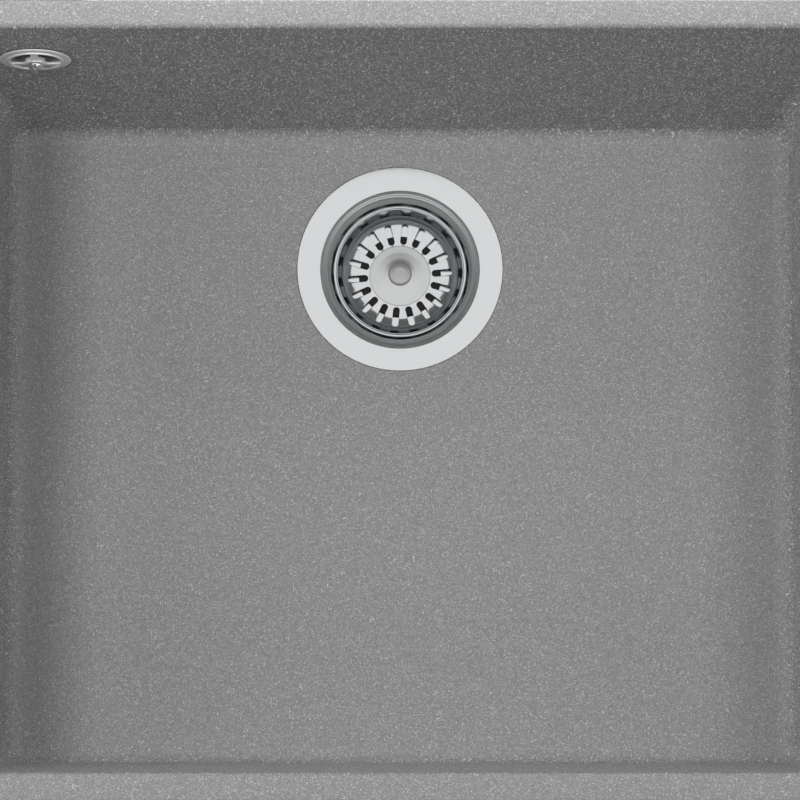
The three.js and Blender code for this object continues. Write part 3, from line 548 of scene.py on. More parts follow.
def piece(name, skins, finish, body, nodes, place=np.eye(4), bevel=0.0, cutters=(), extra=()):
    """A finished piece: skins put in place, cut, given its edge bevel and material, put in its
    body, with the model's nodes that it stands for hidden.

    bevel is the width in mm of a live Bevel modifier on edges over 30 degrees. cutters are
    closed skins that are taken out, and extra are skins added after the cut.
    """
    material, slot = finish
    mesh = mesh_of(name, [moved(surface, place) for surface in skins])
    thing = bpy.data.objects.new(name, mesh)
    scene.collection.objects.link(thing)
    if cutters:
        tool = bpy.data.objects.new("cutter", mesh_of("cutter", [moved(s, place) for s in cutters]))
        scene.collection.objects.link(tool)
        cut = thing.modifiers.new("cut", "BOOLEAN")
        cut.object, cut.operation, cut.solver = tool, "DIFFERENCE", "EXACT"
        cut.use_self = True
        bpy.context.view_layer.update()
        whole = thing.evaluated_get(bpy.context.evaluated_depsgraph_get())
        thing.data = bpy.data.meshes.new_from_object(whole)
        thing.modifiers.clear()
        bpy.data.objects.remove(tool)
    if extra:
        both = bmesh.new()
        both.from_mesh(thing.data)
        both.from_mesh(mesh_of("extra", [moved(surface, place) for surface in extra]))
        both.to_mesh(thing.data)
        both.free()
    thing.data.materials.clear()
    thing.data.materials.append(material)
    thing.data.shade_smooth()
    thing.data.set_sharp_from_angle(angle=np.radians(CREASE))
    if bevel:
        edge = thing.modifiers.new("edges", "BEVEL")
        edge.width, edge.segments = bevel * MM, 2
        edge.limit_method, edge.angle_limit = "ANGLE", np.radians(30)
        edge.harden_normals = True
    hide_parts(*nodes)
    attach(thing, body)
    return thing


# ---- bowl


def side_shares(distance, low, high):
    """Shares of a straight side at equal angles as seen from the drain: x = distance tan(angle)."""
    first, last = np.arctan2([low, high], distance)
    angle = np.linspace(first, last, int(np.ceil((last - first) / np.radians(4))) + 1)[1:-1]
    return (distance * np.tan(angle) - low) / (high - low)


FLOOR_X = HALF_WIDTH - LEAN - FLOOR_FILLET
FLOOR_Y = HALF_DEPTH - LEAN - FLOOR_FILLET
SIDES = [
    side_shares(FLOOR_Y - DRAIN_Y, -FLOOR_X, FLOOR_X),
    side_shares(FLOOR_X, DRAIN_Y - FLOOR_Y, FLOOR_Y + DRAIN_Y),
    side_shares(FLOOR_Y + DRAIN_Y, -FLOOR_X, FLOOR_X),
    side_shares(FLOOR_X, -FLOOR_Y - DRAIN_Y, FLOOR_Y - DRAIN_Y),
]


def levels(outline, radius):
    """Rounded rectangles, one a row, set out from the opening's edge by the outline's [outset, z].

    Each is four quarter circles joined by straight sides, which are cut at the same shares.
    """
    outset, height = outline[:, :1], outline[:, 1:]
    radius = np.broadcast_to(radius, (len(outline),))[:, None]
    corners = []
    for quarter, (sign_x, sign_y) in enumerate(((1, 1), (-1, 1), (-1, -1), (1, -1))):
        angle = np.radians(90) * (quarter + np.linspace(0, 1, CORNER_STEPS + 1))
        x = sign_x * (HALF_WIDTH + outset - radius) + radius * np.cos(angle)
        y = sign_y * (HALF_DEPTH + outset - radius) + radius * np.sin(angle)
        corners.append(np.stack([x, y], axis=-1))
    stretches = []
    for corner, following, shares in zip(corners, corners[1:] + corners[:1], SIDES):
        start, end = corner[:, -1:], following[:, :1]
        stretches += [corner, start + (end - start) * shares[:, None]]
    flat = np.concatenate(stretches, axis=1)
    return np.dstack([flat, np.broadcast_to(height, flat.shape[:2])])


def between(low, high, shares):
    """Rows on straight lines from one ring to another, at the given shares of the way."""
    return low + (high - low) * np.array(shares)[:, None, None]


def drain_rings(edge, radii_heights):
    """Circles round the drain, each point on the ray from the drain to the edge's point."""
    angle = np.arctan2(edge[:, 1] - DRAIN_Y, edge[:, 0])
    radius, height = np.array(radii_heights, float).T[:, :, None]
    x, y = radius * np.cos(angle), DRAIN_Y + radius * np.sin(angle)
    return np.stack([x, y, height + 0 * angle], axis=-1)


def foot_fillet(wall, floor_z, radius, steps):
    """The arc from a leaning wall to a floor, as [outset, z]. wall is its outset at z = 0."""
    centre_z = floor_z + radius
    centre = wall + LEAN * centre_z / BOWL_DEPTH - radius / np.cos(WALL_ANGLE)
    return arc(centre, centre_z, radius, -np.degrees(WALL_ANGLE), -90, steps)


def drawn_in(outline, corner):
    """Corner radii down a fillet: the corner's own, less what the outline has come in."""
    return np.maximum(corner - (outline[0, 0] - outline[:, 0]), RIM_INNER_ROUND)


def bowl_skin():
    """The bowl as one closed run of rings, from the drain hole over the floor and the rim to the
    underside and back to the drain hole. The floor's edges fall towards the rear by REAR_FALL."""
    inner_foot = foot_fillet(0, -BOWL_DEPTH, FLOOR_FILLET, 8)
    inner = levels(inner_foot, drawn_in(inner_foot, CORNER))
    inner[..., 2] -= REAR_FALL * (inner[..., 1] / (2 * HALF_DEPTH) + 0.5)
    outside = WALL / np.cos(WALL_ANGLE)
    outer_foot = foot_fillet(outside, UNDERSIDE_Z, OUTER_FILLET, 8)
    outer = levels(outer_foot, drawn_in(outer_foot, CORNER + WALL))
    low = RIM_LOWER_ROUND
    under = RIM_THICKNESS + low
    neck = outside - LEAN * under / BOWL_DEPTH
    rim_outline = np.vstack([
        arc(RIM_INNER_ROUND, -RIM_INNER_ROUND, RIM_INNER_ROUND, 180, 90, 6),
        arc(RIM_WIDTH - RIM_OUTER_ROUND, -RIM_OUTER_ROUND, RIM_OUTER_ROUND, 90, 0, 4),
        arc(RIM_WIDTH - low, low - RIM_THICKNESS, low, 0, -90, 4),
        arc(neck + low, -under, low, 90, 180, 4),
    ])
    rim = levels(rim_outline, CORNER + rim_outline[:, 0])
    edge = inner[-1]
    waterside = drain_rings(edge, [
        (DRAIN_HOLE_R, BOSS_Z), (DRAIN_HOLE_R, REBATE_Z), (REBATE_R, REBATE_Z),
        (REBATE_R, FLANGE_Z - 0.3), (REBATE_R + 0.05, FLANGE_Z - 0.1), (REBATE_R + 0.15, FLANGE_Z),
        (FLAT_R, FLANGE_Z)])
    underside = drain_rings(outer[-1], [(BOSS_R + 1, UNDERSIDE_Z), (BOSS_R, UNDERSIDE_Z - 1),
                                        (BOSS_R, BOSS_Z + 0.6), (BOSS_R - 0.6, BOSS_Z)])
    down_wall = [0.02, 0.1, 0.25, 0.4, 0.55, 0.7, 0.82, 0.92, 0.98]
    over_floor = [0.04, 0.2, 0.4, 0.6, 0.8, 0.96]
    rings = [
        waterside,
        between(waterside[-1], edge, over_floor),
        inner[::-1],
        between(inner[0], rim[0], down_wall),
        rim,
        between(rim[-1], outer[0], down_wall),
        outer,
        between(outer[-1], underside[0], over_floor),
        underside,
    ]
    return facing_out(skin(np.concatenate(rings), wrap_rows=True))


def overflow_pad():
    """The flat pad behind the rear wall that the overflow's seal presses on."""
    return turned(rounded([(HOLE_R, WALL - 2, 0), (PAD_R, WALL - 2, 0), (PAD_R, PAD_FACE, 0.6),
                           (HOLE_R, PAD_FACE, 0.3)], 3))


overflow_hole = turned([(0, -12), (HOLE_R, -12), (HOLE_R, 20), (0, 20)])
piece("bowl_casting", [moved(bowl_skin(), TO_WALL)], stone, "sink",
      ["bowl"], THROUGH_WALL, cutters=[overflow_hole], extra=[overflow_pad()])

# ---- strainer body


def strainer_line():
    """The water side of the pressed strainer, from the flange's edge down to the throat's end.

    Three shallow beads run round the mouth, where the press has drawn the sheet in steps.
    """
    slope = (SHELF_R - MOUTH_R) / (SHELF_Z - FLANGE_Z + FLANGE_ROLL)
    beads = [(MOUTH_R + slope * (FLANGE_ROLL - drop) + out, FLANGE_Z - drop + rise, 0.25)
             for drop in (3.0, 4.4, 5.8) for out, rise in ((0, 0.45), (-0.3, 0), (0, -0.45))]
    return rounded([
        (FLANGE_R + 0.25, FLANGE_Z - 0.25, 0),
        (FLANGE_R + 0.1, FLANGE_Z, 0.1),
        (MOUTH_R, FLANGE_Z - FLANGE_DISH, FLANGE_ROLL),
        *beads,
        (SHELF_R, SHELF_Z, 0.5),
        (CUP_R, SHELF_FOOT_Z, 0.7),
        (CUP_R, SEAT_Z, CUP_CORNER),
        (THROAT_R, SEAT_Z, THROAT_ROLL),
        (THROAT_R, THROAT_END_Z, 0),
    ], 7)


def rib(width, low, high, inner, outer):
    """A flat rib that stands along +X, from the inner radius to the outer one."""
    outline = box_outline(-width / 2, width / 2, low, high, 0.4)
    return moved(prism(outline, inner, outer), turn(2, 90) @ turn(0, 90))


spider_arm = rib(5, THROAT_END_Z, SPIDER_TOP_Z, 8.4, 20.5)
spider_hub = ring(SCREW_R + RUNNING, SCREW_HEAD_R + 2, THROAT_END_Z, SPIDER_TOP_Z, 0.4, SMALL_ROUND)
piece("strainer_pressing",
      [turned(pressed(strainer_line(), SHEET)), spider_hub, *around(4, spider_arm, 45)],
      drawn_steel, "sink", ["strainer_body"], AT_DRAIN)

piece("flange_gasket", [ring(LIP_R + SHEET, FLANGE_R - 1, REBATE_Z, REBATE_Z + 1.8)],
      rubber, "sink", ["flange_seal"], AT_DRAIN)
piece("under_bowl_gasket", [ring(DRAIN_HOLE_R + 1, BODY_FLANGE_R - 1, BODY_TOP_Z, BOSS_Z, 0.5)],
      rubber, "sink", ["lower_seal"], AT_DRAIN)

# ---- waste body


def thread(major, depth, pitch, low, high, turns_fade=0.8):
    """A helical thread as a swell: the radius falls by depth with the cosine of height / pitch plus
    angle / full turn, and fades out over turns_fade turns at each end."""
    def swell(radius, height, angle):
        phase = 2 * np.pi * height / pitch + angle
        fade = np.clip(np.minimum(height - low, high - height) / (pitch * turns_fade), 0, 1)
        cut_in = 0.5 + 0.5 * np.tanh(2.2 * np.cos(phase)) / np.tanh(2.2)
        return -depth * fade * cut_in * (np.abs(radius - major) < 1e-6)
    return swell


def threaded_rows(radius, low, high, pitch):
    """Rows up a threaded stretch, ten to a turn."""
    height = np.linspace(low, high, int((high - low) / pitch * 10) + 1)
    return np.stack([np.full_like(height, radius), height], axis=-1)


def waste_shell():
    """Flange, drum, cone and threaded outlet of the waste body in one turn."""
    flange_z = BODY_TOP_Z - 5
    thread_low, thread_high = OUTLET_END_Z + 0.8, CONE_END_Z - 4
    upper = rounded([
        (OUTLET_R, thread_high, 0),
        (OUTLET_R, CONE_END_Z - 1.5, 2),
        (OUTLET_R + 3, CONE_END_Z, 3),
        (BODY_R - 3, CONE_TOP_Z - 3.2, 3),
        (BODY_R, CONE_TOP_Z, 3),
        (BODY_R, flange_z - 1, 2),
        (BODY_R + 2, flange_z, 1.5),
        (BODY_FLANGE_R, flange_z, 1),
        (BODY_FLANGE_R, BODY_TOP_Z, 0.6),
        (BODY_BORE, BODY_TOP_Z, 0.5),
        (BODY_BORE, CONE_TOP_Z, 3),
        (OUTLET_BORE + 3, CONE_END_Z + 3, 4),
        (OUTLET_BORE, CONE_END_Z, 3),
        (OUTLET_BORE, OUTLET_END_Z, 0.5),
        (OUTLET_R - 0.5, OUTLET_END_Z, 0),
    ], 6)
    rows = np.vstack([threaded_rows(OUTLET_R, thread_low, thread_high, OUTLET_PITCH)[:-1], upper])
    return turned(rows, ROUND, thread(OUTLET_R, 0.9, OUTLET_PITCH, thread_low - 1.5, thread_high))


def spigot(start, end, flare):
    """A pipe stub along Z with a thread on its far end and a flare where it starts."""
    low, high = end - COUPLING_LENGTH, end
    outline = np.vstack([
        threaded_rows(COUPLING_R, low + 0.6, high - 0.6, SPIGOT_PITCH),
        rounded([(COUPLING_R - 0.8, high, 0), (SPIGOT_BORE, high, 0.4), (SPIGOT_BORE, start, 0),
                 (SPIGOT_R + 2.5, start, 0), (SPIGOT_R, start + flare, 4), (SPIGOT_R, low, 0.5),
                 (COUPLING_R - 0.6, low, 0)], 4),
    ])
    return turned(outline, SMALL_ROUND, thread(COUPLING_R, 0.8, SPIGOT_PITCH, low, high))


hub_rib = rib(3, HUB_END_Z, HUB_TOP_Z - 7, HUB_R - 0.6, OUTLET_BORE + 1.5)
inlet_spigot = moved(spigot(BODY_R - 2.5, INLET_REACH, 6), shift(0, 0, INLET_Z) @ turn(1, -90))
hub = turned(rounded([
    (NUT_BARREL_R + RUNNING, HUB_END_Z, 0.3), (HUB_R, HUB_END_Z, 0.8), (HUB_R, HUB_TOP_Z, 0.8),
    (NUT_BARREL_R + RUNNING, HUB_TOP_Z, 0.3)], 4), SMALL_ROUND)
piece("waste_moulding", [waste_shell(), inlet_spigot, hub, *around(3, hub_rib, 30)],
      white_plastic, "sink", ["waste_body"], AT_DRAIN)


def hexagon(apothem, edge=0.0):
    """A regular hexagon by its apothem, with rounded corners."""
    angle = np.radians(60 * np.arange(6))
    radius = apothem / np.cos(np.radians(30))
    corners = np.stack([radius * np.cos(angle), radius * np.sin(angle), np.full(6, edge)], axis=-1)
    return rounded(corners, 3)


nut_barrel = turned(rounded([(SCREW_R + THREAD_FIT, HUB_END_Z - 2, 0.2),
                             (NUT_BARREL_R, HUB_END_Z - 2, 0), (NUT_BARREL_R, HUB_TOP_Z, 0.4),
                             (SCREW_R + THREAD_FIT, HUB_TOP_Z, 0.4)], 3), SMALL_ROUND)
nut_hex = prism(hexagon(6.93, 0.5), HUB_END_Z - 2, HUB_END_Z)
nut_bore = turned([(0, HUB_END_Z - 4), (SCREW_R + THREAD_FIT, HUB_END_Z - 4),
                   (SCREW_R + THREAD_FIT, HUB_END_Z + 3), (0, HUB_END_Z + 3)], SMALL_ROUND)
piece("brass_insert", [nut_hex], brass, "sink", ["clamp_nut"], AT_DRAIN,
      cutters=[nut_bore], extra=[nut_barrel])

head_top = SPIDER_TOP_Z + SCREW_HEAD_H
clamp_screw = turned(rounded([
    (0, HUB_END_Z - 3, 0), (SCREW_R, HUB_END_Z - 3, 0.8), (SCREW_R, SPIDER_TOP_Z, 0),
    (SCREW_HEAD_R, SPIDER_TOP_Z, 0.3), (SCREW_HEAD_R, head_top, 1), (0, head_top, 0)], 4),
    SMALL_ROUND)
screw_socket = prism(hexagon(2.77), head_top - 2.2, head_top + 1)
piece("clamping_screw", [clamp_screw], satin_steel, "sink", ["clamp_screw"], AT_DRAIN,
      cutters=[screw_socket])

# ---- basket


def basket_sheet():
    """The basket's sheet, turned about Z, with its slots left open.

    Rows are set along the sheet's line by distance. Where a row crosses the slots, each land
    spans the angles from one slot's edge to the next one's, and the edge stands at
    asin(half the slot's width / radius). A slot's ends are half circles.
    """
    line = rounded([
        (STEM_HOLE, BASKET_FLOOR_Z, 0), (BASKET_FLAT_R, BASKET_FLOOR_Z, 12),
        (BASKET_FOOT_R, BASKET_FLOOR_Z + 0.95, 12.5), (BEAD_R - BASKET_SHEET / 2, BEAD_Z, 0)], 14)
    length = np.append(0, np.cumsum(np.linalg.norm(np.diff(line, axis=0), axis=1)))
    first = SLOT_INNER_R - STEM_HOLE
    last = np.interp(SLOT_TOP_Z, line[-18:, 1], length[-18:])
    half = SLOT_WIDTH / 2
    swing = half * (1 - np.cos(np.radians(np.linspace(0, 90, 9))))
    distance = np.unique(np.round(np.concatenate([
        np.linspace(0, first, 6), first + swing, np.linspace(first + half, last - half, 30),
        last - swing, np.linspace(last, length[-1], 26)]), 6))
    radius = np.interp(distance, length, line[:, 0])[:, None]
    height = np.interp(distance, length, line[:, 1])[:, None]
    short = np.clip(np.minimum(distance - first, last - distance), 0, half)[:, None]
    edge = np.arcsin(np.sqrt(np.maximum(half ** 2 - (half - short) ** 2, 0)) / radius)
    pitch = 2 * np.pi / SLOTS
    angle = edge + (pitch - 2 * edge) * np.linspace(0, 1, 9)
    lands = []
    for slot in range(SLOTS):
        a = angle + slot * pitch + np.radians(SLOT_TURN)
        grid = np.stack([radius * np.cos(a), radius * np.sin(a), height + 0 * a], axis=-1)
        lands.append(skin(grid, wrap_columns=False))
    return lands


rolled_bead = turned(arc(BEAD_R, BEAD_Z, BEAD, 0, 350, 15))
basket = piece("basket_pressing", basket_sheet(), bright_steel, "basket",
               ["basket_cup"], AT_DRAIN)
wall = basket.modifiers.new("sheet", "SOLIDIFY")
wall.thickness, wall.offset, wall.use_even_offset = BASKET_SHEET * MM, -1.0, True
edges = basket.modifiers.new("edges", "BEVEL")
edges.width, edges.segments = 0.18 * MM, 2
edges.limit_method, edges.angle_limit = "ANGLE", np.radians(40)
piece("basket_bead", [rolled_bead], bright_steel, "basket", ["basket_cup"], AT_DRAIN)

cap_line = rounded([(CAP_R, CAP_Z, 0), (13, CAP_Z + 0.12 * CAP_RISE, 14),
                    (9, CAP_Z + 0.45 * CAP_RISE, 14), (5.6, CAP_Z + CAP_RISE, 1.5),
                    (STEM_HOLE, CAP_Z + CAP_RISE, 0)], 8)
piece("cap_disc", [turned(pressed(cap_line, -CAP_SHEET))], satin_steel, "basket",
      ["basket_cap"], AT_DRAIN, bevel=0.45)

stud_r = STEM_R - 1
knob_top = KNOB_Z + KNOB_HEIGHT
socket_top = KNOB_Z + KNOB_SOCKET
knob = turned(rounded([
    (0, socket_top, 0), (stud_r + THREAD_FIT, socket_top, 0), (stud_r + THREAD_FIT, KNOB_Z, 0.2),
    (KNOB_NECK_R, KNOB_Z, 0.3), (KNOB_NECK_R, KNOB_Z + 2.3, 0.8), (KNOB_R, KNOB_Z + 3.2, 0.8),
    (KNOB_R, knob_top - 0.9, 1.3), (3.4, knob_top, 5), (0, knob_top, 0)], 8), SMALL_ROUND)
piece("lift_knob", [knob], cast_steel, "plug", ["basket_knob"], AT_DRAIN)

foot_z = CLIP_SHELF_Z - TOUCH
stem = turned(rounded([
    (0, foot_z - 0.8, 0), (STEM_R + 1.5, foot_z - 0.8, 0.4), (STEM_R + 1.5, foot_z, 0.2),
    (STEM_R, foot_z, 0), (STEM_R, KNOB_Z, 0.3), (stud_r, KNOB_Z, 0),
    (stud_r, socket_top - TOUCH, 0.4), (0, socket_top - TOUCH, 0)], 4), SMALL_ROUND)
piece("riveted_stem", [stem], satin_steel, "plug", ["basket_stem"], AT_DRAIN)

piece("plug_washer", [ring(STEM_HOLE, PLATE_R, PLATE_END_Z, PLATE_TOP_Z, 0.2)],
      satin_steel, "plug", ["stopper_plate"], AT_DRAIN)

stopper = turned(rounded([
    (STEM_HOLE, SEAT_Z, 0.2), (STOPPER_R - 0.6, SEAT_Z, 0.3), (STOPPER_R, SEAT_Z + 0.6, 0.3),
    (STOPPER_R - 0.6, PLATE_END_Z - TOUCH, 0.4), (STEM_HOLE, PLATE_END_Z - TOUCH, 0.2)], 4))
piece("plug_rubber", [stopper], rubber, "plug", ["stopper_seal"], AT_DRAIN)

clip_r = SCREW_HEAD_R + 0.6
clip_outer_r = clip_r + 2.2
clip = turned(rounded([
    (STEM_HOLE, CLIP_TOP_Z, 0.3), (STEM_HOLE, CLIP_SHELF_Z, 0.2), (clip_r, CLIP_SHELF_Z, 0.6),
    (clip_r, CLIP_END_Z, 0.4), (clip_outer_r, CLIP_END_Z, 0.6),
    (clip_outer_r, CLIP_TOP_Z, 0.9)], 4), SMALL_ROUND)
piece("snap_clip", [clip], white_plastic, "plug", ["stem_clip"], AT_DRAIN)

# ---- overflow

COVER_R = 19.2
COVER_FACE = 1.2  # its flat outer ring stands this far off the wall
COVER_RISE = 1.9  # its inner ring
HUB_RISE = 3.2
COVER_HUB_R = 5.4
NECK_R = HOLE_R - RUNNING
WINDOW_R = NECK_R - 1.3
ARM_WIDTH = 4.2
ARM_THICKNESS = 1.1
COVER_SCREW_R = 2.4
COVER_HEAD_R = 4.4


def cover_ring():
    """The cover's flat outer ring, its raised inner ring and its neck, heights towards the wall."""
    return turned(rounded([
        (WINDOW_R, 5, 0.3), (WINDOW_R, 0.5 - COVER_RISE, 0.3), (WINDOW_R + 0.5, -COVER_RISE, 0.4),
        (WINDOW_R + 1.4, -COVER_RISE, 0.4), (WINDOW_R + 1.9, -COVER_FACE, 0.35),
        (COVER_R - 0.8, -COVER_FACE, 0.5), (COVER_R, 0.4 - COVER_FACE, 0.3), (COVER_R, -TOUCH, 0.2),
        (NECK_R, -TOUCH, 0), (NECK_R, 5, 0.3)], 6))


def cover_arm():
    """An arm along +X, which rises from the inner ring to the hub and widens at both of them.

    Its half width at a radius is half its own width, plus size - sqrt(size^2 - short^2) at each
    end, where short is how far the point lies inside that end's fillet of radius size. Its
    section is a rectangle whose two front edges are quarter circles.
    """
    radius = np.concatenate([
        np.linspace(4.8, 7.2, 8), np.linspace(8.6, 11, 4), np.linspace(11.3, 13.9, 9)])
    half = np.full_like(radius, ARM_WIDTH / 2)
    for inset, size in ((WINDOW_R - radius, 1.8), (radius - COVER_HUB_R, 1.3)):
        short = np.clip(size - inset, 0, size)
        half += size - np.sqrt(size ** 2 - short ** 2)
    front = np.interp(radius, [COVER_HUB_R, WINDOW_R], [0.4 - HUB_RISE, 0.5 - COVER_RISE])
    edge = 0.45
    quarter = np.radians(np.linspace(0, 90, 5))
    bend = np.concatenate([quarter, quarter[::-1]])
    side = np.append(np.repeat([-1, 1], 5), [1, -1])
    inset = np.append(edge * (1 - np.cos(bend)), [0, 0])
    fall = np.append(edge * (1 - np.sin(bend)), [ARM_THICKNESS, ARM_THICKNESS])
    lateral = side * (half[:, None] - inset)
    grid = np.stack([radius[:, None] + 0 * lateral, lateral, front[:, None] + fall], axis=-1)
    ends = [0 * grid[:1] + row.mean(axis=0) for row in (grid[0], grid[-1])]
    return facing_out(skin(np.concatenate([ends[0], grid, ends[1]])))


cover_hub = turned(rounded([(2.7, 0, 0.2), (2.7, -HUB_RISE, 0.2), (COVER_HUB_R, -HUB_RISE, 0.7),
                            (COVER_HUB_R, 0, 0.3)], 5), SMALL_ROUND)
piece("overflow_cover", [cover_ring(), cover_hub, *around(3, cover_arm(), -90)],
      satin_chrome, "sink", ["overflow_rosette"], THROUGH_WALL)

screw_seat = -HUB_RISE - TOUCH
slot_floor = screw_seat - 0.8
screw_end = ELBOW_FACE + 16
cover_screw = turned(rounded([
    (0, screw_end, 0), (COVER_SCREW_R, screw_end, 0.6), (COVER_SCREW_R, screw_seat, 0),
    (COVER_HEAD_R, screw_seat, 0.3), (COVER_HEAD_R, slot_floor, 1), (2.9, screw_seat - 2.2, 2.4),
    (0, screw_seat - 2.4, 0)], 7), SMALL_ROUND)
screw_slot = prism(box_outline(-0.8, 0.8, -6, 6, 0), screw_seat - 4, slot_floor)
piece("cover_screw", [cover_screw], chrome, "sink", ["overflow_screw"], THROUGH_WALL,
      cutters=[screw_slot], bevel=0.12)

piece("wall_gasket", [ring(HOLE_R + 1, ELBOW_R - 1, PAD_FACE + TOUCH, ELBOW_FACE - TOUCH, 0.6)],
      rubber, "sink", ["overflow_seal"], THROUGH_WALL)


def elbow_chamber():
    """The cup behind the wall, with the boss that the cover's screw runs into."""
    inner, closed = ELBOW_R - ELBOW_WALL, ELBOW_BACK - ELBOW_WALL
    bore, boss_r, boss_end = COVER_SCREW_R + THREAD_FIT, 5.55, ELBOW_FACE + 3
    return turned(rounded([
        (inner, ELBOW_FACE, 0.3), (inner, closed, 2), (boss_r, closed, 1), (boss_r, boss_end, 0.4),
        (bore, boss_end, 0.2), (bore, closed, 0), (0, closed, 0), (0, ELBOW_BACK, 0),
        (ELBOW_R, ELBOW_BACK, 4), (ELBOW_R, ELBOW_FACE, 0.5)], 6))


def elbow_band():
    """A raised band round the chamber's mouth, which stiffens the face on the seal."""
    inner, outer, end = ELBOW_R - 1, ELBOW_R + 1.2, ELBOW_FACE + 3.5
    return turned(rounded([(inner, ELBOW_FACE, 0.2), (outer, ELBOW_FACE, 0.5),
                           (outer, end, 0.8), (inner, end, 0.2)], 4))


elbow_spigot = moved(spigot(20 - SPIGOT_REACH, 0, 11), TO_WALL @ UPPER_COUPLING @ turn(0, 180))
piece("overflow_housing", [elbow_chamber(), elbow_band(), elbow_spigot],
      black_plastic, "sink", ["overflow_elbow"], THROUGH_WALL)

# ---- hose and couplings

HOSE_START = -2.5 - 2 * TOUCH
HOSE_R = SPIGOT_BORE + 2
HOSE_FLANGE_R = COUPLING_R - 0.5
HOSE_FLANGE = 1.5
NUT_LIP_TOP = HOSE_START - HOSE_FLANGE - TOUCH
HOSE_PLAIN = 52  # both ends without ribs together
HOSE_BENDS = 50, 60
RIB_PITCH = 5.0
RIB_HEIGHT = 1.5


def nut_ribs(radius, height, angle):
    """Eight rounded grip ribs: each swells the outside by 1.4 mm over 3 mm of its girth, and fades
    out over the bevels at the nut's ends."""
    pitch = 2 * np.pi / 8
    girth = np.abs((angle + pitch / 2) % pitch - pitch / 2) * NUT_R
    across = np.clip((1.9 - girth) / 0.8, 0, 1)
    outside = np.clip((radius - NUT_R + 0.6) / 0.6, 0, 1)
    return 1.4 * (3 * across ** 2 - 2 * across ** 3) * outside


def coupling_nut():
    """A ribbed nut in a coupling's frame, with its lip behind the hose's flange."""
    bore, top, bottom = COUPLING_R + RUNNING, COUPLING_LENGTH - 2, NUT_LIP_TOP - 3
    return turned(rounded([
        (bore, top, 0.4), (bore, NUT_LIP_TOP, 0.3), (HOSE_R + RUNNING, NUT_LIP_TOP, 0.2),
        (HOSE_R + RUNNING, bottom, 0.4), (NUT_R - 1, bottom, 0.8), (NUT_R, bottom + 1, 0.8),
        (NUT_R, top, 0.7)], 5), 192, nut_ribs)


for end, place in (("upper", UPPER_COUPLING), ("lower", LOWER_COUPLING)):
    piece(f"{end}_coupling_nut", [coupling_nut()], grey_plastic, "sink",
          [f"{end}_hose_nut"], place)
    gasket = ring(SPIGOT_BORE, HOSE_FLANGE_R, -TOUCH - 2.5, -TOUCH, 0.3, SMALL_ROUND)
    piece(f"{end}_coupling_gasket", [gasket], rubber, "sink",
          [f"{end}_hose_seal"], place)


def rounded_route(corners, radii, steps):
    """A route of straight lines whose corners are replaced by cubic curves.

    At a corner that turns by t, the curve starts radius tan(t / 2) before it, and its two middle
    points lie 4/3 radius tan(t / 4) nearer to the corner.
    """
    share = np.linspace(0, 1, steps)[:, None]
    route = [corners[:1]]
    for corner, before, following, radius in zip(corners[1:-1], corners, corners[2:], radii):
        back, ahead = unit(before - corner), unit(following - corner)
        angle = np.pi - np.arccos(np.clip(back @ ahead, -1, 1))
        reach = radius * np.tan(angle / 2)
        pull = reach - 4 / 3 * radius * np.tan(angle / 4)
        a, b = corner + back * reach, corner + back * pull
        c, d = corner + ahead * pull, corner + ahead * reach
        route.append((1 - share) ** 3 * a + 3 * (1 - share) ** 2 * share * b
                     + 3 * (1 - share) * share ** 2 * c + share ** 3 * d)
    route.append(corners[-1:])
    return np.concatenate(route)


def hose_route():
    """The hose drops beside the rear wall to the inlet's level, crosses under the bowl at 60
    degrees to the inlet's axis and turns into it."""
    start = (UPPER_COUPLING @ (0, 0, HOSE_START, 1))[:3]
    end = (LOWER_COUPLING @ (0, 0, HOSE_START, 1))[:3]
    falling = -UPPER_COUPLING[:3, 2]
    under = start + falling * (start[2] - end[2]) / -falling[2]
    sideways = (under[1] - end[1]) / np.tan(np.radians(60))
    beside = np.array([under[0] + sideways, end[1], end[2]])
    return rounded_route(np.array([start, under, beside, end]), HOSE_BENDS, 60)


